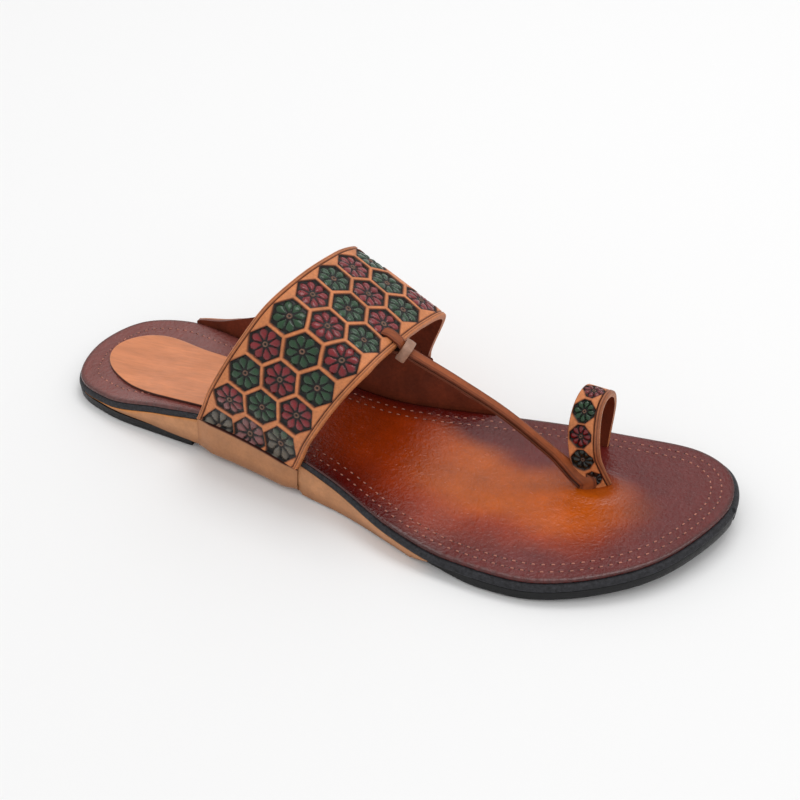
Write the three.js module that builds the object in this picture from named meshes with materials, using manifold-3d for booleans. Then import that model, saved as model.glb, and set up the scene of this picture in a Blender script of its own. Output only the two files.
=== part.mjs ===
import * as THREE from 'three';
import { mergeVertices } from 'three/addons/utils/BufferGeometryUtils.js';
import Module from 'manifold-3d';

const wasm = await Module();
wasm.setup();

// Driving sizes of the sandal, in millimetres
const footbedLength = 265;
const ballWidth = 89;
const instepRise = 66;
const waistRise = 10.6;
const toeSpring = 4.5;
const dishDepth = 0.8;

// Thickness of each layer, from the floor up
const runnerThickness = 3.7;
const topsoleThickness = 2.4;
const insoleThickness = 1.2;
const padThickness = 1.0;
const leatherThickness = 2.4;
const skivedThickness = 1.1;
const wrapThickness = 1.6;
const plyThickness = 1.5;
const ringThickness = 2.2;
const keeperWall = 0.8;

// Running clearance between two glued pieces
const gap = 0.3;

// Places along the footbed, measured from the back of the heel
const breastX = 0.249 * footbedLength;
const outsoleBackX = 0.615 * footbedLength;
const outsoleFullX = 0.69 * footbedLength;
const padBackX = 0.033 * footbedLength;
const padFrontX = 0.408 * footbedLength;
const slitX = 0.815 * footbedLength;
const slitY = 0.101 * ballWidth;

// Sizes of the small parts
const tailDepth = 8;
const padWidth = 35.5;
const slitLength = 13.5;
const slitWidth = 4.4;
const slitAngle = 0.67;
const keeperLength = 3.6;

// How far one leather part is pressed into another where they are glued as one
const bite = 0.05;

// Footbed stations. x is a share of the footbed length, lateral and medial are shares of the ball
// width, humps are shares of the waist rise, and rims are how far the topsole shows past the insole.
const stations = [
  { x: 0.000, lateral: 0.006, medial: 0.006, humpLat: 0.00, humpMed: 0.00, rimLat: 0.9, rimMed: 0.9 },
  { x: 0.027, lateral: -0.240, medial: 0.246, humpLat: 0.00, humpMed: 0.00, rimLat: 0.9, rimMed: 0.9 },
  { x: 0.096, lateral: -0.324, medial: 0.335, humpLat: 0.11, humpMed: 0.08, rimLat: 0.8, rimMed: 0.0 },
  { x: 0.199, lateral: -0.340, medial: 0.284, humpLat: 0.65, humpMed: 0.36, rimLat: 0.6, rimMed: 0.0 },
  { x: 0.300, lateral: -0.342, medial: 0.228, humpLat: 1.00, humpMed: 0.48, rimLat: 0.0, rimMed: 0.0 },
  { x: 0.400, lateral: -0.367, medial: 0.191, humpLat: 0.91, humpMed: 0.48, rimLat: 0.0, rimMed: 0.0 },
  { x: 0.501, lateral: -0.422, medial: 0.197, humpLat: 0.60, humpMed: 0.38, rimLat: 0.6, rimMed: 0.0 },
  { x: 0.610, lateral: -0.528, medial: 0.322, humpLat: 0.28, humpMed: 0.10, rimLat: 1.4, rimMed: 0.0 },
  { x: 0.700, lateral: -0.557, medial: 0.410, humpLat: 0.00, humpMed: 0.00, rimLat: 1.9, rimMed: 1.8 },
  { x: 0.820, lateral: -0.522, medial: 0.478, humpLat: 0.00, humpMed: 0.00, rimLat: 2.0, rimMed: 2.0 },
  { x: 0.920, lateral: -0.329, medial: 0.484, humpLat: 0.00, humpMed: 0.00, rimLat: 2.0, rimMed: 2.0 },
  { x: 0.970, lateral: -0.112, medial: 0.396, humpLat: 0.00, humpMed: 0.00, rimLat: 2.0, rimMed: 2.0 },
  { x: 0.996, lateral: 0.195, medial: 0.195, humpLat: 0.00, humpMed: 0.00, rimLat: 2.0, rimMed: 2.0 },
];

const last = stations.length - 1;
const toeTipX = stations[last].x * footbedLength;

// The insole's outline is one closed curve through the stations
function outlineCurve() {
  const points = [];
  for (const row of stations) {
    points.push(new THREE.Vector3(row.x * footbedLength, row.lateral * ballWidth, 0));
  }
  for (let i = last - 1; i > 0; i -= 1) {
    const row = stations[i];
    points.push(new THREE.Vector3(row.x * footbedLength, row.medial * ballWidth, 0));
  }
  return new THREE.CatmullRomCurve3(points, true, 'centripetal');
}

const outline = outlineCurve();

// Dense samples of one side of the outline, from heel to toe, with their outward normals
function sampleSide(side) {
  const samples = [];
  const count = 40 * last;
  for (let i = 0; i <= count; i += 1) {
    const share = (i / count) / 2;
    const t = side === 'lateral' ? share : (1 - share) % 1;
    const p = outline.getPoint(t);
    const d = outline.getTangent(t);
    samples.push({ x: p.x, y: p.y, nx: d.y, ny: -d.x });
  }
  samples[0].nx = -1;
  samples[0].ny = 0;
  samples[count].nx = 1;
  samples[count].ny = 0;
  return samples;
}

const sides = { lateral: sampleSide('lateral'), medial: sampleSide('medial') };

// The outline's point and outward normal at a place along the footbed
function edgeAt(side, x) {
  const list = sides[side];
  let i = 1;
  while (i < list.length - 1 && list[i].x < x) {
    i += 1;
  }
  const a = list[i - 1];
  const b = list[i];
  const s = THREE.MathUtils.clamp((x - a.x) / (b.x - a.x || 1), 0, 1);
  const mix = (key) => a[key] + (b[key] - a[key]) * s;
  const length = Math.hypot(mix('nx'), mix('ny')) || 1;
  return { x: mix('x'), y: mix('y'), nx: mix('nx') / length, ny: mix('ny') / length };
}

// A smooth value through one column of a table whose rows go forward in x
function column(rows, key, share) {
  const top = rows.length - 1;
  if (share <= rows[0].x) {
    return rows[0][key];
  }
  if (share >= rows[top].x) {
    return rows[top][key];
  }
  let i = 0;
  while (rows[i + 1].x < share) {
    i += 1;
  }
  const a = rows[i];
  const b = rows[i + 1];
  const slope = (j) => {
    if (j <= 0 || j >= top) {
      return 0;
    }
    const before = (rows[j][key] - rows[j - 1][key]) / (rows[j].x - rows[j - 1].x);
    const after = (rows[j + 1][key] - rows[j][key]) / (rows[j + 1].x - rows[j].x);
    return before * after <= 0 ? 0 : (2 * before * after) / (before + after);
  };
  const h = b.x - a.x;
  const t = (share - a.x) / h;
  const t2 = t * t;
  const t3 = t2 * t;
  return a[key] * (2 * t3 - 3 * t2 + 1) + slope(i) * h * (t3 - 2 * t2 + t)
    + b[key] * (3 * t2 - 2 * t3) + slope(i + 1) * h * (t3 - t2);
}

const station = (key, x) => column(stations, key, x / footbedLength);

// The toe lifts off the floor ahead of the ball
const springRows = [
  { x: 0.790, lift: 0 },
  { x: 0.840, lift: 0.13 },
  { x: 0.900, lift: 0.40 },
  { x: 0.950, lift: 0.66 },
  { x: 1.000, lift: 1.00 },
];

const spring = (x) => toeSpring * column(springRows, 'lift', x / footbedLength);

const stack = runnerThickness + topsoleThickness + insoleThickness + 2 * gap;

// Height of the insole's upper face above the floor
function footTop(x, y) {
  const lateral = edgeAt('lateral', x).y;
  const medial = edgeAt('medial', x).y;
  const s = THREE.MathUtils.clamp((y - lateral) / (medial - lateral || 1), 0, 1);
  const hump = THREE.MathUtils.lerp(station('humpLat', x), station('humpMed', x), s);
  const dish = dishDepth * 4 * s * (1 - s) * Math.min(1, hump * 2);
  return stack + waistRise * hump + spring(x) - dish;
}

const insoleUnder = (x, y) => footTop(x, y) - insoleThickness;
const topsoleTop = (x, y) => insoleUnder(x, y) - gap;
const topsoleUnder = (x, y) => topsoleTop(x, y) - topsoleThickness;

// Stations along a stretch of the footbed, closer together at a rounded end
function spread(from, to, count, roundBack, roundFront) {
  const list = [];
  for (let i = 0; i <= count; i += 1) {
    const t = i / count;
    let s = t;
    if (roundBack && roundFront) {
      s = (1 - Math.cos(Math.PI * t)) / 2;
    } else if (roundBack) {
      s = 1 - Math.cos((Math.PI / 2) * t);
    } else if (roundFront) {
      s = Math.sin((Math.PI / 2) * t);
    }
    list.push(from + (to - from) * s);
  }
  return list;
}

// Evenly spaced places that pass through each named place
function through(places, step) {
  const list = [places[0]];
  for (let i = 1; i < places.length; i += 1) {
    const count = Math.max(1, Math.ceil((places[i] - places[i - 1]) / step));
    for (let k = 1; k <= count; k += 1) {
      list.push(THREE.MathUtils.lerp(places[i - 1], places[i], k / count));
    }
  }
  return list;
}

// Turns loose triangles into one welded closed geometry with its faces outward
function weld(corners) {
  const loose = new THREE.BufferGeometry();
  loose.setAttribute('position', new THREE.Float32BufferAttribute(corners, 3));
  const merged = mergeVertices(loose, 1e-4);
  const index = merged.getIndex().array;
  const position = merged.getAttribute('position');
  const kept = [];
  let volume = 0;
  const a = new THREE.Vector3();
  const b = new THREE.Vector3();
  const c = new THREE.Vector3();
  for (let i = 0; i < index.length; i += 3) {
    const [p, q, r] = [index[i], index[i + 1], index[i + 2]];
    if (p !== q && q !== r && r !== p) {
      kept.push(p, q, r);
      a.fromBufferAttribute(position, p);
      b.fromBufferAttribute(position, q);
      c.fromBufferAttribute(position, r);
      volume += a.dot(b.cross(c));
    }
  }
  if (volume < 0) {
    kept.reverse();
  }
  const geometry = new THREE.BufferGeometry();
  geometry.setAttribute('position', position);
  geometry.setIndex(kept);
  return geometry;
}

function quad(out, a, b, c, d) {
  out.push(...a, ...b, ...c, ...a, ...c, ...d);
}

// A layer of the sole: levels from its lower face to its upper one, each an offset of the outline
function slab(xs, levels, across = 4) {
  const rows = xs.length - 1;
  const point = (level, i, j) => {
    const at = (side) => {
      const e = edgeAt(side, xs[i]);
      const d = level.offset(side, xs[i]);
      const cutEnd = (i === 0 && xs[0] > 0) || (i === rows && xs[rows] < toeTipX);
      return [cutEnd ? xs[i] : e.x + e.nx * d, e.y + e.ny * d];
    };
    const l = at('lateral');
    const m = at('medial');
    const s = j / across;
    const x = l[0] + (m[0] - l[0]) * s;
    const y = l[1] + (m[1] - l[1]) * s;
    return [x, y, level.height(x, y)];
  };
  const out = [];
  const top = levels.length - 1;
  for (let i = 0; i < rows; i += 1) {
    for (let j = 0; j < across; j += 1) {
      const cell = (k) => {
        const level = levels[k];
        const near = [point(level, i, j), point(level, i + 1, j)];
        return [...near, point(level, i + 1, j + 1), point(level, i, j + 1)];
      };
      quad(out, ...cell(top));
      quad(out, ...cell(0).reverse());
    }
  }
  const rim = [];
  for (let i = 0; i < rows; i += 1) {
    rim.push([i, 0]);
  }
  for (let j = 0; j < across; j += 1) {
    rim.push([rows, j]);
  }
  for (let i = rows; i > 0; i -= 1) {
    rim.push([i, across]);
  }
  for (let j = across; j > 0; j -= 1) {
    rim.push([0, j]);
  }
  for (let k = 0; k < top; k += 1) {
    rim.forEach((here, n) => {
      const next = rim[(n + 1) % rim.length];
      quad(
        out,
        point(levels[k], ...here),
        point(levels[k], ...next),
        point(levels[k + 1], ...next),
        point(levels[k + 1], ...here),
      );
    });
  }
  return weld(out);
}

const rimAt = (side, x) => station(side === 'lateral' ? 'rimLat' : 'rimMed', x);

// Insole: the glazed maroon skin, with its upper corner rounded off
const insoleCorner = 0.5;

function insoleGeometry() {
  const xs = spread(0, toeTipX, 44, true, true);
  return slab(xs, [
    { offset: () => 0, height: insoleUnder },
    { offset: () => 0, height: (x, y) => footTop(x, y) - insoleCorner },
    { offset: () => -insoleCorner, height: footTop },
  ]);
}

// Topsole: its edge is rounded over where it shows past the insole
function topsoleGeometry() {
  const xs = spread(0, toeTipX, 44, true, true);
  const at = (share) => (x, y) => topsoleTop(x, y) - topsoleThickness * share;
  return slab(xs, [
    { offset: (side, x) => rimAt(side, x) * 0.9, height: at(1) },
    { offset: rimAt, height: at(0.7) },
    { offset: (side, x) => rimAt(side, x) * 0.7, height: at(0.2) },
    { offset: (side, x) => rimAt(side, x) * 0.1, height: at(0) },
  ]);
}

// Heel lift: flat on the floor, with a straight breast
function liftGeometry() {
  const xs = spread(0, breastX, 16, true, false);
  return slab(xs, [
    { offset: (side, x) => rimAt(side, x) * 0.6, height: () => 0 },
    { offset: (side, x) => rimAt(side, x) * 0.9, height: () => runnerThickness },
  ], 3);
}

// Forefoot outsole: feathered at its back end under the wedge
const outsoleFeather = 0.7;

function outsoleTop(x) {
  const s = THREE.MathUtils.clamp((x - outsoleBackX) / (outsoleFullX - outsoleBackX), 0, 1);
  return THREE.MathUtils.lerp(outsoleFeather, runnerThickness, s) + spring(x);
}

function outsoleGeometry() {
  const xs = spread(outsoleBackX, toeTipX, 26, false, true);
  const middle = (x) => THREE.MathUtils.lerp(spring(x), outsoleTop(x), 0.45);
  return slab(xs, [
    { offset: (side, x) => rimAt(side, x) * 0.3, height: (x) => spring(x) },
    { offset: (side, x) => rimAt(side, x) * 0.9, height: middle },
    { offset: (side, x) => rimAt(side, x) * 0.8, height: (x) => outsoleTop(x) },
  ]);
}

// The instep band, a row for each section from its outer hem over the instep to its inner base.
// x is a share of the footbed length, y of the ball width, and rise a share of the instep rise
// above the footbed.
const bandRows = [
  { rearX: 0.270, rearY: -0.373, rearRise: -0.019, frontX: 0.443, frontY: -0.417, frontRise: -0.069 },
  { rearX: 0.303, rearY: -0.386, rearRise: 0.260, frontX: 0.474, frontY: -0.447, frontRise: 0.212 },
  { rearX: 0.346, rearY: -0.312, rearRise: 0.603, frontX: 0.511, frontY: -0.404, frontRise: 0.502 },
  { rearX: 0.375, rearY: -0.225, rearRise: 0.819, frontX: 0.543, frontY: -0.314, frontRise: 0.712 },
  { rearX: 0.385, rearY: 0.009, rearRise: 0.883, frontX: 0.542, frontY: -0.106, frontRise: 0.695 },
  { rearX: 0.384, rearY: 0.262, rearRise: 0.832, frontX: 0.544, frontY: 0.164, frontRise: 0.646 },
  { rearX: 0.379, rearY: 0.443, rearRise: 0.724, frontX: 0.543, frontY: 0.357, frontRise: 0.540 },
  { rearX: 0.344, rearY: 0.452, rearRise: 0.600, frontX: 0.520, frontY: 0.354, frontRise: 0.250 },
  { rearX: 0.270, rearY: 0.393, rearRise: 0.326, frontX: 0.532, frontY: 0.340, frontRise: 0.185 },
  { rearX: 0.184, rearY: 0.343, rearRise: 0.110, frontX: 0.572, frontY: 0.345, frontRise: 0.115 },
  { rearX: 0.106, rearY: 0.343, rearRise: 0.008, frontX: 0.626, frontY: 0.351, frontRise: 0.008 },
];

const bandTop = bandRows.length - 1;
const hemX = (v) => THREE.MathUtils.lerp(bandRows[0].rearX, bandRows[0].frontX, v) * footbedLength;

// Underside of the wrapped waist and tuck of the wedge's side, from the breast to the ball
const waistRows = [
  { x: 0.250, under: 1.9, tuck: 0.0 },
  { x: 0.330, under: 1.2, tuck: 0.0 },
  { x: 0.400, under: 0.7, tuck: 0.0 },
  { x: 0.450, under: 0.6, tuck: 0.0 },
  { x: 0.530, under: 0.3, tuck: 1.0 },
  { x: 0.600, under: 0.3, tuck: 2.2 },
  { x: 0.680, under: 0.3, tuck: 0.6 },
];

const waistUnder = (x) => column(waistRows, 'under', x / footbedLength);
const waistTuck = (x) => column(waistRows, 'tuck', x / footbedLength);
const rampLength = 1.5;
const wrapBackX = hemX(0);
const wrapFrontX = hemX(1);

// Underside of the wedge: over the lift, over the wrap, on the ground, then over the outsole
function wedgeUnder(x) {
  const overLift = runnerThickness + gap;
  const overWrap = waistUnder(x) + wrapThickness + gap;
  if (x <= breastX + gap) {
    return overLift;
  }
  if (x <= wrapBackX - gap) {
    const s = THREE.MathUtils.clamp((x - breastX - gap) / rampLength, 0, 1);
    return THREE.MathUtils.lerp(overLift, overWrap, s);
  }
  if (x <= wrapFrontX + gap) {
    return overWrap;
  }
  if (x < outsoleBackX - rampLength) {
    const s = THREE.MathUtils.clamp((x - wrapFrontX - gap) / rampLength, 0, 1);
    return THREE.MathUtils.lerp(overWrap, waistUnder(x), s);
  }
  return outsoleTop(x) + gap;
}

const wedgePlaces = [
  breastX + gap,
  breastX + gap + rampLength,
  wrapBackX - gap,
  wrapBackX - 0.7 * gap,
  wrapFrontX + gap,
  wrapFrontX + gap + rampLength,
  outsoleBackX - rampLength - gap,
  outsoleBackX - rampLength,
  outsoleBackX,
];

// The outer side of the wedge swells out to meet the wrap at both of its ends
const flareDepth = 1.8;
const flareLength = 34;

function flare(side, x) {
  if (side === 'medial' || (x > wrapBackX - gap && x <= wrapFrontX + gap)) {
    return 0;
  }
  const away = x < wrapBackX ? wrapBackX - x : x - wrapFrontX;
  return flareDepth * (1 - THREE.MathUtils.smoothstep(away, 0, flareLength));
}

const featherThickness = 0.35;

// The wedge fills every place where the topsole stands clear of the lift and the outsole
function wedgeStretch() {
  const thin = (x) => {
    const middle = (edgeAt('lateral', x).y + edgeAt('medial', x).y) / 2;
    const places = [edgeAt('lateral', x).y, middle, edgeAt('medial', x).y];
    return Math.min(...places.map((y) => topsoleUnder(x, y) - gap - wedgeUnder(x))) < featherThickness;
  };
  let back = breastX;
  while (!thin(back - 1)) {
    back -= 1;
  }
  let front = outsoleBackX;
  while (!thin(front + 1)) {
    front += 1;
  }
  return [back, front];
}

function wedgeGeometry() {
  const [back, front] = wedgeStretch();
  const xs = through([back, ...wedgePlaces, front], 5);
  const top = (x, y) => topsoleUnder(x, y) - gap;
  const middle = (x, y) => (wedgeUnder(x) + top(x, y)) / 2;
  return slab(xs, [
    { offset: (side, x) => rimAt(side, x) * 0.5 - waistTuck(x) + flare(side, x), height: wedgeUnder },
    { offset: (side, x) => rimAt(side, x) * 0.6 - waistTuck(x) * 0.4 + flare(side, x), height: middle },
    { offset: (side, x) => rimAt(side, x) * 0.8 + flare(side, x) / 2, height: top },
  ], 3);
}

// A closed skin between an outer and an inner grid of points
function shell(outer, inner) {
  const rows = outer.length - 1;
  const columns = outer[0].length - 1;
  const out = [];
  for (let i = 0; i < rows; i += 1) {
    for (let j = 0; j < columns; j += 1) {
      quad(out, outer[i][j], outer[i + 1][j], outer[i + 1][j + 1], outer[i][j + 1]);
      quad(out, inner[i][j + 1], inner[i + 1][j + 1], inner[i + 1][j], inner[i][j]);
    }
    quad(out, inner[i][0], inner[i + 1][0], outer[i + 1][0], outer[i][0]);
    quad(out, outer[i][columns], outer[i + 1][columns], inner[i + 1][columns], inner[i][columns]);
  }
  for (let j = 0; j < columns; j += 1) {
    quad(out, outer[0][j], outer[0][j + 1], inner[0][j + 1], inner[0][j]);
    quad(out, inner[rows][j], inner[rows][j + 1], outer[rows][j + 1], outer[rows][j]);
  }
  return weld(out);
}

// A smooth value between the rows of the band, where u counts rows
function bandValue(key, u) {
  const at = (i) => {
    if (i < 0) {
      return 2 * bandRows[0][key] - bandRows[1][key];
    }
    if (i > bandTop) {
      return 2 * bandRows[bandTop][key] - bandRows[bandTop - 1][key];
    }
    return bandRows[i][key];
  };
  const i = Math.min(Math.floor(u), bandTop - 1);
  const t = u - i;
  const [a, b, c, d] = [at(i - 1), at(i), at(i + 1), at(i + 2)];
  return b + 0.5 * t * (c - a + t * (2 * a - 5 * b + 4 * c - d + t * (3 * (b - c) + d - a)));
}

// How closely a section follows the side of the sole: fully at both ends, not at all over the instep
const hugOuterEnd = 1;
const hugInnerStart = 7;

function bandHug(u) {
  const outer = 1 - THREE.MathUtils.smoothstep(u, 0, hugOuterEnd);
  return outer + THREE.MathUtils.smoothstep(u, hugInnerStart, bandTop);
}

// Outer face of the band, v running from its rear edge to its front edge
function bandPoint(u, v) {
  const mix = (back, front) => THREE.MathUtils.lerp(bandValue(back, u), bandValue(front, u), v);
  const x = mix('rearX', 'frontX') * footbedLength;
  const free = mix('rearY', 'frontY') * ballWidth;
  const side = u < bandTop / 2 ? 'lateral' : 'medial';
  const edge = edgeAt(side, x);
  const wall = edge.y + Math.sign(edge.ny) * (gap + leatherThickness);
  const y = THREE.MathUtils.lerp(free, wall, bandHug(u));
  const z = footTop(x, y) + mix('rearRise', 'frontRise') * instepRise;
  return new THREE.Vector3(x, y, z);
}

function bandNormal(u, v) {
  const step = 0.02;
  const du = bandPoint(Math.min(u + step, bandTop), v).sub(bandPoint(Math.max(u - step, 0), v));
  const dv = bandPoint(u, Math.min(v + step, 1)).sub(bandPoint(u, Math.max(v - step, 0)));
  return dv.cross(du).normalize();
}

// How high the tails end above the wedge's lower edge, and how far they show before they are skived
const tailClearance = 1.1;
const lateralLedge = 0.4;
const medialLedge = 1.6;

// The tucked tails of the band lie against the side of the sole, skived thin
function tailPoint(u, v, drop, depth) {
  const p = bandPoint(u, v);
  const edge = edgeAt(u < 1 ? 'lateral' : 'medial', p.x);
  const out = gap + depth;
  const lowest = wedgeUnder(p.x) + tailClearance;
  return [edge.x + edge.nx * out, edge.y + edge.ny * out, Math.max(p.z - drop, lowest)];
}

function bandGeometry() {
  const outer = [];
  const inner = [];
  const across = 16;
  const tail = (u, drop, thickness) => {
    const line = (depth) => {
      const points = [];
      for (let j = 0; j <= across; j += 1) {
        points.push(tailPoint(u, j / across, drop, depth));
      }
      return points;
    };
    outer.push(line(thickness));
    inner.push(line(0));
  };
  tail(0, tailDepth, skivedThickness);
  tail(0, lateralLedge, skivedThickness);
  tail(0, 0, leatherThickness);
  const steps = 40;
  for (let i = 1; i < steps; i += 1) {
    const u = (i / steps) * bandTop;
    const rowOut = [];
    const rowIn = [];
    for (let j = 0; j <= across; j += 1) {
      const p = bandPoint(u, j / across);
      const q = p.clone().addScaledVector(bandNormal(u, j / across), -leatherThickness);
      rowOut.push(p.toArray());
      rowIn.push(q.toArray());
    }
    outer.push(rowOut);
    inner.push(rowIn);
  }
  tail(bandTop, 0, leatherThickness);
  tail(bandTop, medialLedge, leatherThickness);
  tail(bandTop, medialLedge + lateralLedge, skivedThickness);
  tail(bandTop, tailDepth, skivedThickness);
  return shell(outer, inner);
}

// A flat strip along a path. Each row holds its centre, half width, width direction and thickness.
function strip(rows, across) {
  const outer = [];
  const inner = [];
  rows.forEach((row, i) => {
    const before = rows[Math.max(i - 1, 0)].centre;
    const after = rows[Math.min(i + 1, rows.length - 1)].centre;
    const tangent = after.clone().sub(before).normalize();
    const width = row.width.clone().addScaledVector(tangent, -tangent.dot(row.width)).normalize();
    const normal = tangent.clone().cross(width).normalize();
    const line = (lift) => {
      const points = [];
      for (let j = 0; j <= across; j += 1) {
        const s = (2 * j) / across - 1;
        const p = row.centre.clone().addScaledVector(width, s * row.half);
        points.push(p.addScaledVector(normal, lift).toArray());
      }
      return points;
    };
    outer.push(line(row.thickness / 2));
    inner.push(line(-row.thickness / 2));
  });
  return shell(outer, inner);
}

// Toe strap: two plies of one thong that clasp the band's front edge and run to the slit.
// strapRow is the band's section that it leaves from, strapEntry the place of its slit in the band.
const strapRow = 4.2;
const strapEntry = 0.84;
const strapBow = 4.2;
const strapHalf = 2.3;
const entryHeight = 1.7;
const tuckDepth = 0.9;

const slit = new THREE.Vector3(slitX, slitY, footTop(slitX, slitY));
const slitAlong = new THREE.Vector3(Math.cos(slitAngle), Math.sin(slitAngle), 0);
const slitAcross = new THREE.Vector3(-Math.sin(slitAngle), Math.cos(slitAngle), 0);
const strapStart = bandPoint(strapRow, 1);
strapStart.addScaledVector(bandNormal(strapRow, 1), -leatherThickness / 2);
const strapFoot = slit.clone().addScaledVector(slitAlong, -slitLength / 4);
const strapEnd = strapFoot.clone().setZ(slit.z + entryHeight);

// Along the strap from the band to the footbed: its bow above a straight line and its half width
const strapRows = [
  { x: 0.00, bow: 0.00, half: 1.00 },
  { x: 0.30, bow: 0.62, half: 0.94 },
  { x: 0.56, bow: 1.00, half: 0.91 },
  { x: 0.80, bow: 0.62, half: 1.00 },
  { x: 0.93, bow: 0.20, half: 1.22 },
  { x: 1.00, bow: 0.00, half: 1.39 },
];

const strapHalfAt = (t) => strapHalf * column(strapRows, 'half', t);

const strapDirection = strapEnd.clone().sub(strapStart).setZ(0).normalize();
const strapWidth = new THREE.Vector3(-strapDirection.y, strapDirection.x, 0);

function strapPoint(t) {
  const p = strapStart.clone().lerp(strapEnd, t);
  p.z += strapBow * column(strapRows, 'bow', t);
  return p;
}

function strapNormal(t) {
  const tangent = strapPoint(Math.min(t + 0.02, 1)).sub(strapPoint(Math.max(t - 0.02, 0)));
  return tangent.cross(strapWidth).normalize();
}

// The plies close on each other a little way ahead of the band
const plyMeet = 0.03;
const plyLift = plyThickness / 2 - bite;

function plyGeometry(side) {
  const rows = [];
  const depth = side > 0 ? 0 : leatherThickness;
  const clasp = [
    { v: strapEntry, lift: -plyLift },
    { v: strapEntry + 0.05, lift: plyLift / 2 },
    { v: 0.96, lift: plyLift },
    { v: 1.0, lift: plyLift },
  ];
  for (const row of clasp) {
    const centre = bandPoint(strapRow, row.v);
    centre.addScaledVector(bandNormal(strapRow, row.v), side * row.lift - depth);
    rows.push({ centre, half: strapHalf, width: strapWidth, thickness: plyThickness });
  }
  const steps = 16;
  for (let i = 0; i <= steps; i += 1) {
    const t = THREE.MathUtils.lerp(plyMeet, 1, i / steps);
    const centre = strapPoint(t).addScaledVector(strapNormal(t), side * plyLift);
    const turn = THREE.MathUtils.smoothstep(t, 0.8, 1);
    const width = strapWidth.clone().lerp(slitAlong, turn).normalize();
    rows.push({ centre, half: strapHalfAt(t), width, thickness: plyThickness });
  }
  const centre = strapFoot.clone().addScaledVector(slitAcross, -side * plyLift);
  centre.z -= tuckDepth;
  rows.push({ ...rows[rows.length - 1], centre });
  return strip(rows, 2);
}

// Toe ring: a short band that arches over the big toe from the slit to the inner edge of the footbed
const ringSpan = 25.5;
const ringRise = 31.2;
const ringWidth = 11.8;
const ringStartY = slitY - 1;

// across is a share of the span, rise of the height, half a share of half the width, along a length
// ahead of the slit, and twist the turn of the width from the shoe's long axis
const ringRows = [
  { across: 0.12, rise: -0.03, along: 2.7, half: 0.52, twist: 0.67 },
  { across: 0.05, rise: 0.13, along: -0.2, half: 0.72, twist: 0.50 },
  { across: 0.01, rise: 0.33, along: -3.7, half: 0.94, twist: 0.20 },
  { across: 0.02, rise: 0.51, along: -5.1, half: 1.00, twist: 0.00 },
  { across: 0.08, rise: 0.68, along: -6.1, half: 1.00, twist: 0.00 },
  { across: 0.19, rise: 0.84, along: -6.8, half: 0.95, twist: 0.00 },
  { across: 0.33, rise: 0.95, along: -7.1, half: 0.90, twist: 0.00 },
  { across: 0.48, rise: 1.00, along: -7.0, half: 0.87, twist: 0.00 },
  { across: 0.65, rise: 0.97, along: -7.0, half: 0.85, twist: 0.00 },
  { across: 0.81, rise: 0.87, along: -7.2, half: 0.84, twist: 0.00 },
  { across: 0.935, rise: 0.70, along: -7.6, half: 0.82, twist: 0.00 },
  { across: 1.00, rise: 0.49, along: -8.2, half: 0.79, twist: 0.00 },
  { across: 1.00, rise: 0.24, along: -8.7, half: 0.75, twist: 0.00 },
  { across: 0.975, rise: -0.03, along: -9.0, half: 0.71, twist: 0.00 },
];

function ringCentre(row) {
  const y = ringStartY + ringSpan * row.across;
  return new THREE.Vector3(slitX + row.along, y, slit.z + ringRise * row.rise);
}

function ringGeometry() {
  const path = new THREE.CatmullRomCurve3(ringRows.map(ringCentre), false, 'centripetal');
  const steps = 2 * (ringRows.length - 1);
  const rows = [];
  for (let i = 0; i <= steps; i += 1) {
    const a = ringRows[Math.floor(i / 2)];
    const b = ringRows[Math.ceil(i / 2)];
    const twist = (a.twist + b.twist) / 2;
    rows.push({
      centre: path.getPoint(i / steps),
      half: ((a.half + b.half) / 4) * ringWidth,
      width: new THREE.Vector3(Math.cos(twist), Math.sin(twist), 0),
      thickness: ringThickness,
    });
  }
  return strip(rows, 2);
}

// Prism that stands in the footbed where a strap passes down through it
function footPrism(centre, along, length, width, from, to) {
  const shape = new THREE.Shape();
  shape.moveTo(-length / 2, -width / 2);
  shape.lineTo(length / 2, -width / 2);
  shape.lineTo(length / 2, width / 2);
  shape.lineTo(-length / 2, width / 2);
  shape.closePath();
  const prism = new THREE.ExtrudeGeometry(shape, { depth: to - from, bevelEnabled: false });
  prism.rotateZ(Math.atan2(along.y, along.x));
  prism.translate(centre.x, centre.y, from);
  return prism;
}

const ringEnd = ringRows[ringRows.length - 1];
const ringFoot = ringCentre(ringEnd);
const alongX = new THREE.Vector3(1, 0, 0);
const farSlitLength = ringWidth * ringEnd.half;

function tails() {
  const low = topsoleUnder(slitX, slitY) + gap;
  const farLow = topsoleUnder(ringFoot.x, ringFoot.y) + gap;
  return [
    footPrism(slit, slitAlong, slitLength, slitWidth - 2 * gap, low, slit.z + gap),
    footPrism(ringFoot, alongX, farSlitLength, ringThickness, farLow, ringFoot.z + tuckDepth + gap),
  ];
}

function slitCutters() {
  const low = runnerThickness;
  const high = slit.z + toeSpring;
  return [
    footPrism(slit, slitAlong, slitLength + 2 * gap, slitWidth, low, high),
    footPrism(ringFoot, alongX, farSlitLength + 2 * gap, ringThickness + 2 * gap, low, high),
  ];
}

function toSolid(geometry) {
  const bare = geometry.index ? geometry.toNonIndexed() : geometry.clone();
  for (const name of Object.keys(bare.attributes)) {
    if (name !== 'position') {
      bare.deleteAttribute(name);
    }
  }
  const merged = mergeVertices(bare, 1e-4);
  return new wasm.Manifold(new wasm.Mesh({
    numProp: 3,
    vertProperties: merged.getAttribute('position').array,
    triVerts: Uint32Array.from(merged.getIndex().array),
  }));
}

function toGeometry(solid) {
  const mesh = solid.getMesh();
  const geometry = new THREE.BufferGeometry();
  geometry.setAttribute('position', new THREE.BufferAttribute(mesh.vertProperties, 3));
  geometry.setIndex(new THREE.BufferAttribute(mesh.triVerts, 1));
  return geometry;
}

function join(geometries) {
  return toGeometry(geometries.map(toSolid).reduce((a, b) => a.add(b)));
}

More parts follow.
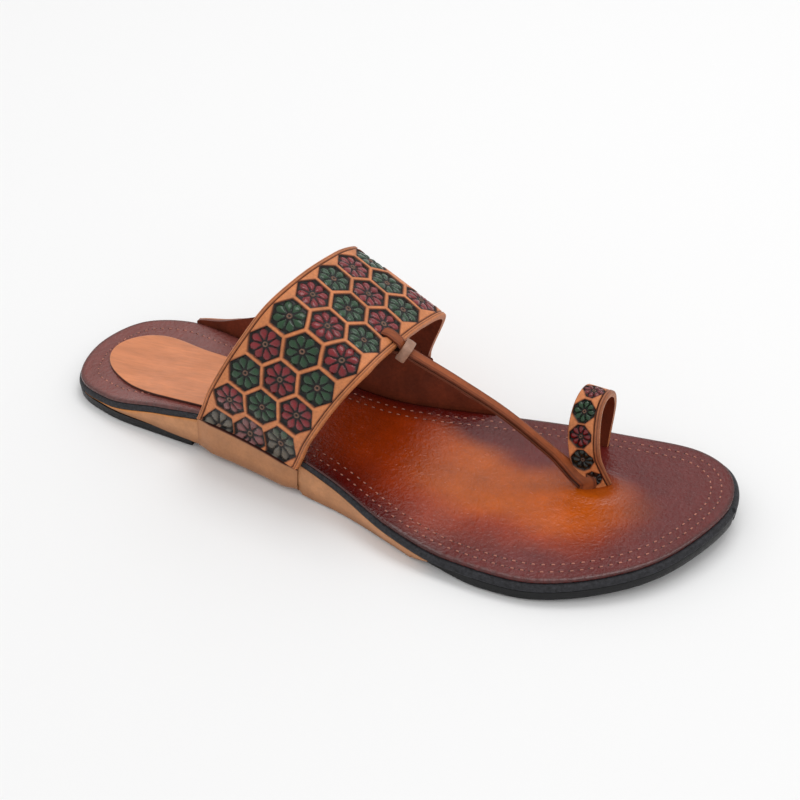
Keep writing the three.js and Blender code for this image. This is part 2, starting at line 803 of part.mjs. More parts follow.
function cut(geometry, cutters) {
  return toGeometry(cutters.map(toSolid).reduce((a, b) => a.subtract(b), toSolid(geometry)));
}

function upperGeometry() {
  return join([bandGeometry(), plyGeometry(1), plyGeometry(-1), ringGeometry(), ...tails()]);
}

// Keeper: a small square ring round both plies, just ahead of the band, where they still stand open
const keeperOpening = 0.95;
const keeperPlace = plyMeet + 0.01;

function keeperGeometry() {
  const centre = strapPoint(keeperPlace);
  const normal = strapNormal(keeperPlace);
  const half = strapHalfAt(keeperPlace) + gap;
  const deep = plyThickness + keeperOpening + gap;
  const box = (w, h) => {
    const s = new THREE.Shape();
    s.moveTo(-w, -h);
    s.lineTo(w, -h);
    s.lineTo(w, h);
    s.lineTo(-w, h);
    s.closePath();
    return s;
  };
  const shape = box(half + keeperWall, deep + keeperWall);
  shape.holes.push(box(half, deep));
  const ring = new THREE.ExtrudeGeometry(shape, { depth: keeperLength, bevelEnabled: false });
  ring.translate(0, 0, -keeperLength / 2);
  const basis = new THREE.Matrix4().makeBasis(strapWidth, normal, strapWidth.clone().cross(normal));
  ring.applyMatrix4(basis);
  ring.translate(centre.x, centre.y, centre.z);
  return toGeometry(toSolid(ring));
}

// Waist wrap: a tan skin lapped under the waist over the tails of the band, with rounded corners
function wrapGeometry() {
  const steps = 12;
  const outer = [];
  const inner = [];
  const corner = 2.6;
  const bulge = 0.9;
  for (let i = 0; i <= steps; i += 1) {
    const x = THREE.MathUtils.lerp(wrapBackX, wrapFrontX, i / steps);
    const lateralTop = bandPoint(0, i / steps).z - lateralLedge - gap;
    const medial = edgeAt('medial', x);
    const medialTop = footTop(x, medial.y) - medialLedge - lateralLedge - gap;
    const line = (depth, under) => {
      const out = 2 * gap + skivedThickness + depth;
      const lateral = edgeAt('lateral', x);
      const yl = lateral.y - out;
      const ym = medial.y + out;
      return [
        [x, yl, lateralTop],
        [x, yl - bulge * 0.7, (lateralTop + under) / 2],
        [x, yl - bulge, under + corner],
        [x, yl + corner * 0.1, under + corner * 0.25],
        [x, yl + corner, under],
        [x, (yl + ym) / 2, under],
        [x, ym - corner, under],
        [x, ym - corner * 0.1, under + corner * 0.25],
        [x, ym + bulge / 2, under + corner],
        [x, ym, medialTop],
      ];
    };
    const under = wedgeUnder(x) - gap;
    outer.push(line(wrapThickness, under - wrapThickness));
    inner.push(line(0, under));
  }
  return shell(outer, inner);
}

// Heel pad: a thin sock with a rounded back end that runs under the band, nearer the outer side
const padRound = 0.85 * padWidth;
const padShift = 5;
const padShiftEnd = 0.19 * footbedLength;

function padGeometry() {
  const xs = spread(padBackX, padFrontX, 18, true, false);
  const axis = (x) => {
    const middle = (edgeAt('lateral', x).y + edgeAt('medial', x).y) / 2;
    return middle - padShift * THREE.MathUtils.smoothstep(x, padBackX, padShiftEnd);
  };
  const outer = [];
  const inner = [];
  const across = 4;
  for (const x of xs) {
    const s = THREE.MathUtils.clamp((x - padBackX) / padRound, 0, 1);
    const half = (padWidth / 2) * Math.sqrt(1 - (1 - s) ** 2.5);
    const line = (lift) => {
      const points = [];
      for (let j = 0; j <= across; j += 1) {
        const y = axis(x) + half * ((2 * j) / across - 1);
        points.push([x, y, footTop(x, y) + gap + lift]);
      }
      return points;
    };
    outer.push(line(padThickness));
    inner.push(line(0));
  }
  return shell(outer, inner);
}

const group = new THREE.Group();
const chappal = new THREE.Group();
group.add(chappal);

function add(name, geometry, color, roughness) {
  geometry.computeVertexNormals();
  const material = new THREE.MeshStandardMaterial({ color, roughness, metalness: 0 });
  const mesh = new THREE.Mesh(geometry, material);
  mesh.name = name;
  chappal.add(mesh);
}

add('upper', upperGeometry(), 0xcd8c5a, 0.5);
add('strap_keeper', keeperGeometry(), 0xa58a80, 0.5);
add('insole', cut(insoleGeometry(), slitCutters()), 0x7a2e22, 0.3);
add('heel_pad', padGeometry(), 0xc07848, 0.5);
add('topsole', cut(topsoleGeometry(), slitCutters()), 0x3c3c3e, 0.7);
add('wedge', wedgeGeometry(), 0xb98552, 0.6);
add('waist_wrap', wrapGeometry(), 0xc28d5a, 0.6);
add('forefoot_outsole', outsoleGeometry(), 0x1c1c1e, 0.4);
add('heel_lift', liftGeometry(), 0x1c1c1e, 0.5);

// The origin is on the floor, under the middle of the sandal's box
const box = new THREE.Box3().setFromObject(chappal);
const middle = box.getCenter(new THREE.Vector3());
chappal.position.set(-middle.x, -middle.y, -box.min.z);

export default group;
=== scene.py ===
"""Looks of a kolhapuri chappal, a right shoe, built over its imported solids."""

import math

import bmesh
import bpy
import numpy as np
from mathutils import Matrix, Vector


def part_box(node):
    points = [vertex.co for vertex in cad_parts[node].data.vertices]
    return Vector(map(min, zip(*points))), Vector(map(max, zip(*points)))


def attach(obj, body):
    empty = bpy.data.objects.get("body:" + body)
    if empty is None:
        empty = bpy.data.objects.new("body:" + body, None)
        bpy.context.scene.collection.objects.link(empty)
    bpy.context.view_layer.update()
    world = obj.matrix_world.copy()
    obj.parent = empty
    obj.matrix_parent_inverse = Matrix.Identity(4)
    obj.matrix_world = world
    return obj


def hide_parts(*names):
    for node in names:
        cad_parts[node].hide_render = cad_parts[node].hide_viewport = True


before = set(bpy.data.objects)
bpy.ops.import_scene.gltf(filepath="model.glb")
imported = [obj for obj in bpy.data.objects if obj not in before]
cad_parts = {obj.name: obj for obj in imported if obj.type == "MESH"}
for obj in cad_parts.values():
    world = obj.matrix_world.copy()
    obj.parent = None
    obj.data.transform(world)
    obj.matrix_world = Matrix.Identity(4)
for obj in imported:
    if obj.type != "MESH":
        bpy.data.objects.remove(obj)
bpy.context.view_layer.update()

# Driving sizes of the sandal, in millimetres, as in the part's source
FOOTBED = 265.0
BALL = 89.0
INSTEP = 66.0
WAIST = 10.6
TOE_SPRING = 4.5
DISH = 0.8
RUNNER = 3.7
TOPSOLE = 2.4
INSOLE = 1.2
PAD = 1.0
LEATHER = 2.4
SKIVED = 1.1
WRAP = 1.6
PLY = 1.5
RING = 2.2
GAP = 0.3
MM = 1000.0

BREAST_X = 0.249 * FOOTBED
OUTSOLE_BACK_X = 0.648 * FOOTBED
OUTSOLE_FULL_X = 0.69 * FOOTBED
PAD_BACK_X = 0.033 * FOOTBED
PAD_FRONT_X = 0.408 * FOOTBED
SLIT_X = 0.815 * FOOTBED
SLIT_Y = 0.101 * BALL
TAIL_DEPTH = 8.0
PAD_WIDTH = 35.5
SLIT_LENGTH = 13.5
SLIT_ANGLE = 0.67
PAD_ROUND = 0.85 * PAD_WIDTH
PAD_POWER = 2.5
PAD_SHIFT = 5.0
PAD_SHIFT_END = 0.19 * FOOTBED
RAMP = 1.5
FLARE = 1.8
FLARE_LENGTH = 34.0
WEDGE_BACK_X = 11.0
WEDGE_FRONT_X = 178.0
WEDGE_FEATHER = 0.35
OUTSOLE_FEATHER = 0.5
OUTSOLE_TUCK = 3.4
OUTSOLE_TUCK_LENGTH = 26.0
TAIL_CLEARANCE = 1.1
LATERAL_LEDGE = 0.4
MEDIAL_LEDGE = 1.6
MEDIAL_STEP = 2.0
FAR = 1e9

# The insole: its outline in shares of the ball's width, its hump in shares of the waist's rise, and
# how far the layers below stand out past it, in millimetres, all from the heel to the toe
STATIONS = {
    "x": (0, 0.027, 0.096, 0.199, 0.3, 0.4, 0.501, 0.61, 0.7, 0.82, 0.92, 0.97, 0.996),
    "lateral": (0.006, -0.24, -0.324, -0.34, -0.342, -0.367, -0.422,
                -0.528, -0.557, -0.522, -0.329, -0.112, 0.195),
    "medial": (0.006, 0.246, 0.335, 0.284, 0.228, 0.191, 0.197,
               0.322, 0.41, 0.478, 0.484, 0.396, 0.195),
    "hump_lateral": (0, 0, 0.11, 0.65, 1, 0.91, 0.6, 0.28, 0, 0, 0, 0, 0),
    "hump_medial": (0, 0, 0.08, 0.36, 0.48, 0.48, 0.38, 0.1, 0, 0, 0, 0, 0),
    "rim_lateral": (0.9, 0.9, 0.8, 0.6, 0, 0, 0.6, 1.4, 1.9, 2, 2, 2, 2),
    "rim_medial": (0.9, 0.9, 0, 0, 0, 0, 0, 0, 1.8, 2, 2, 2, 2),
}

SPRING = {"x": (0.79, 0.84, 0.9, 0.95, 1), "lift": (0, 0.13, 0.4, 0.66, 1)}

# The waist under the wedge: height over the floor and how far its lower edge is tucked in
WAIST_ROWS = {
    "x": (0.25, 0.33, 0.4, 0.45, 0.53, 0.6, 0.68),
    "under": (1.9, 1.2, 0.7, 0.6, 0.3, 0.3, 0.3),
    "tuck": (0, 0, 0, 0, 1, 2.2, 0.6),
}

# The band's edges, row by row over the foot from the lateral hem to the medial one: sides in shares
# of the ball's width, rises in shares of the instep's height over the insole
BAND = {
    "rear_x": (0.27, 0.303, 0.346, 0.375, 0.385, 0.384, 0.379, 0.344, 0.26, 0.18, 0.106),
    "rear_y": (-0.373, -0.386, -0.312, -0.225, 0.009, 0.262, 0.443, 0.452, 0.366, 0.34, 0.343),
    "rear_rise": (-0.019, 0.26, 0.603, 0.819, 0.883, 0.832, 0.724, 0.6, 0.226, 0.09, 0.008),
    "front_x": (0.443, 0.474, 0.511, 0.543, 0.542, 0.544, 0.543, 0.52, 0.532, 0.572, 0.626),
    "front_y": (-0.417, -0.447, -0.404, -0.314, -0.106, 0.164, 0.357, 0.354, 0.34, 0.345, 0.351),
    "front_rise": (-0.069, 0.212, 0.502, 0.712, 0.695, 0.646, 0.54, 0.25, 0.185, 0.115, 0.008),
}
BAND_TOP = 10
HUG_OUTER_END = 1
HUG_INNER_START = 7


def dye(*values):
    """A colour given as eye values from 0 to 255, in the linear values that Blender takes"""
    c = np.array(values) / 255
    return np.where(c <= 0.04045, c / 12.92, ((c + 0.055) / 1.055) ** 2.4)


def clamp01(value):
    return np.clip(value, 0, 1)


def smooth(value, low, high):
    t = clamp01((value - low) / (high - low))
    return t * t * (3 - 2 * t)


def stripe(value, middle, outer, inner):
    """1 within inner of the middle, and 0 past outer"""
    return smooth(-np.abs(value - middle), -outer, -inner)


def blend(a, b, t):
    return a + (b - a) * t


def mix3(a, b, t):
    return a + (b - a) * t[..., None]


def column(table, key, share):
    """A smooth value through one column of a table whose rows go forward in x"""
    xs = np.array(table["x"], float)
    ys = np.array(table[key], float)
    share = np.clip(np.asarray(share, float), xs[0], xs[-1])
    slope = np.zeros(len(xs))
    rise = np.diff(ys) / np.diff(xs)
    for j in range(1, len(xs) - 1):
        if rise[j - 1] * rise[j] > 0:
            slope[j] = 2 * rise[j - 1] * rise[j] / (rise[j - 1] + rise[j])
    i = np.clip(np.searchsorted(xs, share, side="left") - 1, 0, len(xs) - 2)
    h = xs[i + 1] - xs[i]
    t = (share - xs[i]) / h
    t2 = t * t
    t3 = t2 * t
    return (
        ys[i] * (2 * t3 - 3 * t2 + 1)
        + slope[i] * h * (t3 - 2 * t2 + t)
        + ys[i + 1] * (3 * t2 - 2 * t3)
        + slope[i + 1] * h * (t3 - t2)
    )


def curve_point(points, share, closed):
    """A point of the centripetal Catmull-Rom curve through the points"""
    count = len(points)
    place = (count if closed else count - 1) * share
    i = math.floor(place)
    if not closed:
        i = min(i, count - 2)
    w = place - i

    def at(k):
        if closed:
            return points[k % count]
        if k < 0:
            return 2 * points[0] - points[1]
        if k >= count:
            return 2 * points[-1] - points[-2]
        return points[k]

    a, b, c, d = at(i - 1), at(i), at(i + 1), at(i + 2)
    s0, s1, s2 = (max(np.linalg.norm(q - p), 1e-9) ** 0.5 for p, q in ((a, b), (b, c), (c, d)))
    m1 = ((b - a) / s0 - (c - a) / (s0 + s1) + (c - b) / s1) * s1
    m2 = ((c - b) / s1 - (d - b) / (s1 + s2) + (d - c) / s2) * s1
    return b + m1 * w + (3 * (c - b) - 2 * m1 - m2) * w * w + (2 * (b - c) + m1 + m2) * w ** 3


def outline_sides():
    """Dense samples of both sides of the insole's outline, from heel to toe, with their normals"""

    def corner(side, i):
        return np.array([STATIONS["x"][i] * FOOTBED, STATIONS[side][i] * BALL])

    last = len(STATIONS["x"]) - 1
    points = [corner("lateral", i) for i in range(last + 1)]
    points += [corner("medial", i) for i in range(last - 1, 0, -1)]
    samples_per_row = 40
    step = 1e-4
    count = samples_per_row * last
    sides = {}
    for side in ("lateral", "medial"):
        shares = np.arange(count + 1) / count / 2
        if side == "medial":
            shares = (1 - shares) % 1.0
        places = np.array([curve_point(points, t, True) for t in shares])
        ahead = np.array([curve_point(points, min(t + step, 1 - 1e-12), True) for t in shares])
        behind = np.array([curve_point(points, max(t - step, 0), True) for t in shares])
        tangent = ahead - behind
        tangent /= np.linalg.norm(tangent, axis=1)[:, None]
        normal = np.stack([tangent[:, 1], -tangent[:, 0]], 1)
        normal[0] = (-1, 0)
        normal[-1] = (1, 0)
        sides[side] = (np.maximum.accumulate(places[:, 0]), places[:, 1], normal)
    return sides


SIDES = outline_sides()
TOE_TIP_X = STATIONS["x"][-1] * FOOTBED


def edge_at(side, x):
    """The outline's y and outward normal at a place along the footbed"""
    xs, ys, normal = SIDES[side]
    nx = np.interp(x, xs, normal[:, 0])
    ny = np.interp(x, xs, normal[:, 1])
    length = np.hypot(nx, ny)
    return np.interp(x, xs, ys), nx / length, ny / length


def station(key, x):
    return column(STATIONS, key, x / FOOTBED)


def spring(x):
    return TOE_SPRING * column(SPRING, "lift", x / FOOTBED)


STACK = RUNNER + TOPSOLE + INSOLE + 2 * GAP


def foot_top(x, y):
    """Height of the insole's upper face above the floor"""
    lateral = edge_at("lateral", x)[0]
    medial = edge_at("medial", x)[0]
    s = clamp01((y - lateral) / np.maximum(medial - lateral, 1e-6))
    hump = blend(station("hump_lateral", x), station("hump_medial", x), s)
    dish = DISH * 4 * s * (1 - s) * np.minimum(1, hump * 2)
    return STACK + WAIST * hump + spring(x) - dish


def outsole_top(x):
    s = clamp01((x - OUTSOLE_BACK_X) / (OUTSOLE_FULL_X - OUTSOLE_BACK_X))
    return blend(OUTSOLE_FEATHER, RUNNER, s) + spring(x)


WRAP_BACK_X = BAND["rear_x"][0] * FOOTBED
WRAP_FRONT_X = BAND["front_x"][0] * FOOTBED


def wedge_under(x):
    """Underside of the wedge: over the lift, over the wrap, on the ground, then over the outsole"""
    over_lift = RUNNER + GAP
    under = column(WAIST_ROWS, "under", x / FOOTBED)
    over_wrap = under + WRAP + GAP
    ramp_in = clamp01((x - BREAST_X - GAP) / RAMP)
    ramp_out = clamp01((x - WRAP_FRONT_X - GAP) / RAMP)
    back = blend(over_lift, over_wrap, ramp_in)
    front = blend(over_wrap, under, ramp_out)
    value = np.where(x < WRAP_FRONT_X + GAP, back, front)
    return np.where(x >= OUTSOLE_BACK_X - RAMP, outsole_top(x) + GAP, value)


def band_edge(key, u):
    """A smooth value along one edge of the band, where u counts rows"""
    rows = np.array(BAND[key], float)
    rows = np.concatenate([[2 * rows[0] - rows[1]], rows, [2 * rows[-1] - rows[-2]]])
    i = np.clip(np.floor(u).astype(int), 0, BAND_TOP - 1)
    t = u - i
    a, b, c, d = rows[i], rows[i + 1], rows[i + 2], rows[i + 3]
    return b + 0.5 * t * (c - a + t * (2 * a - 5 * b + 4 * c - d + t * (3 * (b - c) + d - a)))


def band_value(key, u, v):
    return blend(band_edge("rear_" + key, u), band_edge("front_" + key, u), v)


def band_point(u, v):
    """Outer face of the band, v running from its rear edge to its front edge"""
    u, v = np.broadcast_arrays(np.asarray(u, float), np.asarray(v, float))
    x = band_value("x", u, v) * FOOTBED
    free = band_value("y", u, v) * BALL
    hug = 1 - smooth(u, 0, HUG_OUTER_END) + smooth(u, HUG_INNER_START, BAND_TOP)
    lateral = edge_at("lateral", x)
    medial = edge_at("medial", x)
    near = u < BAND_TOP / 2
    wall = np.where(near, lateral[0] - GAP - LEATHER, medial[0] + GAP + LEATHER)
    y = blend(free, wall, hug)
    z = foot_top(x, y) + band_value("rise", u, v) * INSTEP
    return np.stack([x, y, z], -1)


def unit(vectors):
    return vectors / np.maximum(np.linalg.norm(vectors, axis=-1, keepdims=True), 1e-12)


def run_length(points):
    """How far along a path each of its points lies"""
    return np.concatenate([[0], np.cumsum(np.linalg.norm(np.diff(points, axis=0), axis=1))])


def band_normal(u, v):
    step = 0.02
    du = band_point(np.minimum(u + step, BAND_TOP), v) - band_point(np.maximum(u - step, 0), v)
    dv = band_point(u, np.minimum(v + step, 1)) - band_point(u, np.maximum(v - step, 0))
    return unit(np.cross(dv, du))


# The fit frame starts at the back of the heel; the row frame is centred on the sandal's box
insole_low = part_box("insole")[0]
SHIFT = np.array([-insole_low.x * MM, SIDES["lateral"][1].min() - insole_low.y * MM, 0.0])


def row_frame(points):
    """Millimetres of the fit frame as metres of the row frame"""
    return (np.asarray(points, float) - SHIFT) / MM


def ring_faces(rows, columns, start=0):
    """Quads between rows of closed sections, and the two end faces"""
    i = np.arange(rows - 1)[:, None]
    j = np.arange(columns)[None, :]
    k = (j + 1) % columns
    corners = (i * columns + j, i * columns + k, (i + 1) * columns + k, (i + 1) * columns + j)
    quads = (np.stack(corners, -1).reshape(-1, 4) + start).tolist()
    last = start + (rows - 1) * columns
    ends = [list(range(start, start + columns)), list(range(last, last + columns))]
    return quads, ends


SHARP_ANGLE = math.radians(38)
MERGE_DISTANCE = 1e-6


def placed(name, data):
    """A new object in the scene"""
    obj = bpy.data.objects.new(name, data)
    bpy.context.scene.collection.objects.link(obj)
    return obj


def piece(name, points, faces, materials, node, tint=None, gloss=None, which=None):
    """A smooth mesh of the object, from points in the fit frame, that rides on the only body"""
    mesh = bpy.data.meshes.new(name)
    mesh.from_pydata(row_frame(points).tolist(), [], faces)
    for material in materials:
        mesh.materials.append(material)
    if which is not None:
        mesh.polygons.foreach_set("material_index", np.asarray(which, np.int32))
    if tint is not None:
        rgba = np.concatenate([tint, np.ones((len(tint), 1))], 1).astype(np.float32)
        colours = mesh.color_attributes.new("tint", "FLOAT_COLOR", "POINT")
        colours.data.foreach_set("color", rgba.ravel())
    if gloss is not None:
        values = mesh.attributes.new("gloss", "FLOAT", "POINT")
        values.data.foreach_set("value", gloss.astype(np.float32))
    shape = bmesh.new()
    shape.from_mesh(mesh)
    bmesh.ops.remove_doubles(shape, verts=shape.verts, dist=MERGE_DISTANCE)
    bmesh.ops.recalc_face_normals(shape, faces=shape.faces)
    shape.to_mesh(mesh)
    shape.free()
    mesh.polygons.foreach_set("use_smooth", np.ones(len(mesh.polygons), bool))
    mesh.set_sharp_from_angle(angle=SHARP_ANGLE)
    obj = placed(name, mesh)
    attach(obj, "root")
    if node:
        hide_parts(node)


def section_piece(name, sections, materials, node, tint=None, gloss=None, columns_in=None):
    """A piece from rows of closed sections; columns_in gives each column's material"""
    rows, columns = sections.shape[:2]
    quads, ends = ring_faces(rows, columns)
    which = None
    if columns_in is not None:
        which = list(np.tile(columns_in, rows - 1)) + [columns_in[0]] * len(ends)
    if tint is not None:
        tint = np.broadcast_to(tint, sections.shape).reshape(-1, 3)
    if gloss is not None:
        gloss = gloss.reshape(-1)
    piece(name, sections.reshape(-1, 3), quads + ends, materials, node, tint, gloss, which)


# Materials: noise scales are in cells per metre, and depths in metres


class Nodes:
    """Short calls for building one material or world"""

    def __init__(self, name, kind="materials", shader="Principled BSDF"):
        self.owner = getattr(bpy.data, kind).new(name)
        self.owner.use_nodes = True
        self.tree = self.owner.node_tree
        self.shader = self.tree.nodes[shader]

    def fill(self, inputs, node=None):
        """Write inputs of a node, or of the shader, from plain values or other nodes' outputs"""
        for key, value in inputs.items():
            socket = (node or self.shader).inputs[key]
            if isinstance(value, bpy.types.NodeSocket):
                self.tree.links.new(value, socket)
            else:
                socket.default_value = value

    def add(self, kind, output, inputs, **settings):
        node = self.tree.nodes.new("ShaderNode" + kind)
        for key, value in settings.items():
            setattr(node, key, value)
        self.fill(inputs, node)
        return node.outputs[output]

    def noise(self, scale, detail=4, rough=0.55, stretch=(1, 1, 1)):
        way = self.add("TexCoord", "Object", {})
        place = self.add("Mapping", 0, {"Vector": way, "Scale": stretch})
        return self.add("TexNoise", "Fac", {
            "Vector": place, "Scale": scale, "Detail": detail, "Roughness": rough,
        })

    def span(self, value, low, high, from_low=0.3, from_high=0.7, **settings):
        return self.add("MapRange", "Result", {
            "Value": value, "From Min": from_low, "From Max": from_high,
            "To Min": low, "To Max": high,
        }, **settings)

    def step(self, value, low, high):
        return self.span(value, 0, 1, low, high, interpolation_type="SMOOTHSTEP")

    def maths(self, operation, *values):
        return self.add("Math", 0, dict(enumerate(values)), operation=operation)

    def scaled(self, colour, *factors):
        """The colour times grey factors"""
        for factor in factors:
            inputs = {0: 1, 6: colour, 7: factor}
            colour = self.add("Mix", 2, inputs, data_type="RGBA", blend_type="MULTIPLY")
        return colour

    def bump(self, *layers):
        """Layers are (height, strength, depth), from the broadest to the finest"""
        normal = {}
        for height, strength, depth in layers:
            inputs = {"Height": height, "Strength": strength, "Distance": depth, **normal}
            normal = {"Normal": self.add("Bump", "Normal", inputs)}
        self.fill(normal)

    def attribute(self, name, output):
        return self.add("Attribute", output, {}, attribute_name=name)


def leather(name, colour=None, roughness=0.5, coat=0, mottle=0.16, grain=0.25, grain_scale=1500,
            grain_depth=0.00015, stretch=(1, 1, 1), fibre=0, specular=0.45):
    """Leather with a mottled tone and a grain. Without a colour it takes the mesh's tint."""
    n = Nodes(name)
    base = n.attribute("tint", "Color") if colour is None else (*colour, 1)
    broad = n.span(n.noise(120, 5, 0.6, stretch), 1 - mottle, 1 + mottle * 0.6)
    fine = n.span(n.noise(grain_scale * 0.6, 3, 0.6, stretch), 1 - mottle * 0.5, 1 + mottle * 0.4)
    n.fill({
        "Base Color": n.scaled(base, broad, fine),
        "Roughness": n.span(n.noise(260, 4), roughness - 0.06, roughness + 0.08),
        "Coat Weight": coat, "Coat Roughness": 0.3, "Specular IOR Level": specular,
    })
    layers = [
        (n.noise(300, 4, 0.6, stretch), 0.25, 0.0004),
        (n.noise(grain_scale, 3, 0.6, stretch), grain, grain_depth),
    ]
    if fibre:
        layers.append((n.noise(grain_scale * 1.6, 2, 0.7, stretch), fibre, 0.0002))
    n.bump(*layers)
    return n.owner


def painted_leather(name):
    """Tooled leather: tint and gloss come from the mesh, with varnish over the painted petals"""
    n = Nodes(name)
    gloss = n.attribute("gloss", "Fac")
    broad = n.span(n.noise(150, 5, 0.65), 0.76, 1.16)
    fine = n.span(n.noise(1100, 3, 0.7), 0.84, 1.12)
    n.fill({
        "Base Color": n.scaled(n.attribute("tint", "Color"), broad, fine),
        "Roughness": n.span(gloss, 0.46, 0.2, 0, 1),
        "Coat Weight": n.span(gloss, 0, 0.5, 0, 1),
        "Coat Roughness": 0.1, "Specular IOR Level": 0.25,
    })
    n.bump((n.noise(420, 4, 0.6), 0.4, 0.0005), (n.noise(1500, 4, 0.65), 0.5, 0.00035))
    return n.owner


def rubber(name):
    """Black runner with fine lines moulded along its side"""
    n = Nodes(name)
    n.fill({
        "Base Color": (*dye(11, 11, 13), 1), "Specular IOR Level": 0.3,
        "Roughness": n.span(n.noise(500, 4), 0.28, 0.5),
    })
    n.bump((n.noise(900, 3, 0.6, (0.08, 0.08, 2.6)), 0.5, 0.0003), (n.noise(2200, 3), 0.3, 0.0001))
    return n.owner


def granular(name):
    """The painted edge of the topsole, dark grey and granular"""
    n = Nodes(name)
    tone = n.span(n.noise(750, 5, 0.8), 0.35, 3.2, 0.35, 0.65)
    colour = n.scaled((*dye(25, 25, 28), 1), tone)
    n.fill({"Base Color": colour, "Roughness": 0.6, "Specular IOR Level": 0.3})
    n.bump((n.noise(420, 4, 0.6), 0.4, 0.0004), (n.noise(1700, 4, 0.7), 0.6, 0.0003))
    return n.owner


TAN = dye(203, 126, 78)
# The lining's own dark brown, pushed to a saturated orange that is painted bounce light from the
# footbed
LINING = dye(106, 44, 24)
painted = painted_leather("painted_leather")
lining = leather("lining_leather", LINING, 0.7, mottle=0.3, grain=0.4, specular=0.15)
strap_leather = leather("strap_leather", None, 0.5, mottle=0.3, grain=0.5, stretch=(0.25, 1, 1),
                        specular=0.18)
insole_leather = leather("insole_leather", None, 0.2, mottle=0.14, grain=0.6, grain_scale=700,
                         grain_depth=0.0005)
pad_leather = leather("pad_leather", None, 0.42, mottle=0.2, grain=0.3, grain_scale=1300,
                      stretch=(0.1, 1, 1))
wedge_leather = leather("wedge_leather", None, 0.6, coat=0.02, grain=0.35, fibre=0.2)
wrap_leather = leather("wrap_leather", None, 0.5, coat=0.1, mottle=0.14, grain=0.28)
keeper_leather = leather("keeper_leather", dye(150, 112, 92), 0.4, mottle=0.35, grain=0.4)
edge_paint = granular("topsole_edge")
black_rubber = rubber("black_rubber")
thread = leather("thread", dye(172, 114, 98), 0.6, mottle=0.3, grain=0.2, specular=0.2)
hole_shade = leather("needle_hole_shade", dye(40, 14, 14), 0.7, mottle=0.1, grain=0.1)

# Pattern of the instep band: three rows of painted flowers in six-sided cells
PITCH = 14.44
ROW_GAP = 13.1
FIRST_CELL = 22.44
CELL_SLANT = 0.21
CELL_SHARE = 12.5 / ROW_GAP
PATTERN_END = 118.0
HEM_PLACE = -0.35
HEM_STRETCH = 0.68
RIDGE = 0.72
HEX_SLOPE = 0.866
CELL_DEPTH = 0.75
PETAL_TURN = math.pi / 4
PETAL_RISE = 0.62
EYE_RISE = 0.35
# The flower's own shape, in shares of the length from its centre to a petal's tip
PETAL_PLACE = 0.63
PETAL_REACH = 0.375
PETAL_HALF = 0.1
PETAL_SPREAD = 0.175
EYE_RADIUS = 0.13
# Edges of a strap
CREASE = 1.8
CREASE_DEPTH = 0.5
THIN_CREASE = 0.75
THIN_DEPTH = 0.12
BORDER_RISE = 0.12
EDGE_RADIUS = 0.75
RED = dye(114, 6, 16)
GREEN = dye(16, 56, 24)
GROUND = dye(12, 7, 6)
DARK_LINE = dye(74, 34, 26)
EYE_TONE = dye(150, 112, 92)
FADED = dye(112, 88, 84)
BURNT = dye(146, 80, 50)


def flower(x, y, inner, reach, paint):
    """Height, tint and gloss of one painted flower; x and y run from its centre, inner is how far
    a point lies inside the cell's wall, and reach is the length of a petal's tip from the centre"""
    r = np.hypot(x, y)
    turn = np.arctan2(y, x)
    off = turn - np.round(turn / PETAL_TURN) * PETAL_TURN
    along = r * np.cos(off) / reach
    across = r * np.sin(off) / reach
    half = PETAL_HALF + PETAL_SPREAD * smooth(along, 0.28, 0.8)
    q = ((along - PETAL_PLACE) / PETAL_REACH) ** 2 + (across / half) ** 2
    dome = np.sqrt(clamp01(1 - q))
    floor = smooth(inner, 0, 0.45)
    height = -CELL_DEPTH * floor + floor * dome * PETAL_RISE
    eye = stripe(r / reach, EYE_RADIUS, 0.055, 0.02)
    height = height + floor * eye * EYE_RISE
    wall = 0.75 * smooth(inner, -0.55, -0.1)
    tint = mix3(TAN, BURNT, wall)
    tint = mix3(tint, GROUND, smooth(inner, -0.12, 0.2))
    petal = smooth(dome, 0.05, 0.45) * floor
    # Each petal is lighter on its dome and darker towards its rim: painted highlight and shade of
    # the raised petal over its paint colour
    tone = mix3(paint * 0.55, paint * 1.15, smooth(dome, 0.2, 1))
    tint = mix3(tint, tone, petal)
    tint = mix3(tint, EYE_TONE, eye * floor * 0.7)
    gloss = np.maximum(petal, 0.2 * floor)
    return height, tint, gloss


def band_pattern(s, w):
    """Height, tint and gloss of the tooled face, s along the band and w across it"""
    row_guess = np.clip(np.round(w / ROW_GAP), -1, 1)
    best = np.full(s.shape, FAR)
    bx = np.zeros(s.shape)
    by = np.zeros(s.shape)
    red = np.zeros(s.shape, bool)
    for row in (-1, 0, 1):
        start = FIRST_CELL + row * PITCH / 2
        place = (s - start) / PITCH
        place = np.where(place < HEM_PLACE, HEM_PLACE + (place - HEM_PLACE) * HEM_STRETCH, place)
        index = np.round(place)
        x = (place - index) * PITCH
        y = (w - row * ROW_GAP) * CELL_SHARE
        d = np.maximum(np.abs(x), 0.5 * np.abs(x) + HEX_SLOPE * np.abs(y))
        d = np.where(np.abs(row_guess - row) > 1, FAR, d)
        d = np.where(start + index * PITCH > PATTERN_END, FAR, d)
        near = d < best
        best = np.where(near, d, best)
        bx = np.where(near, x, bx)
        by = np.where(near, y, by)
        odd = np.mod(index, 2) > 0.5
        red = np.where(near, odd if row == 0 else ~odd, red)
    reach = PITCH / 2 - RIDGE
    paint = np.where(red[..., None], RED, GREEN)
    paint = mix3(paint, FADED, 0.5 * (1 - smooth(s, 8, 22)))
    return flower(bx, by, reach - best, reach - 0.25, paint)


def round_over(e, radius):
    """How far a rounded edge has fallen at a distance e from it"""
    return radius - np.sqrt(np.maximum(radius ** 2 - np.maximum(radius - e, 0) ** 2, 0))


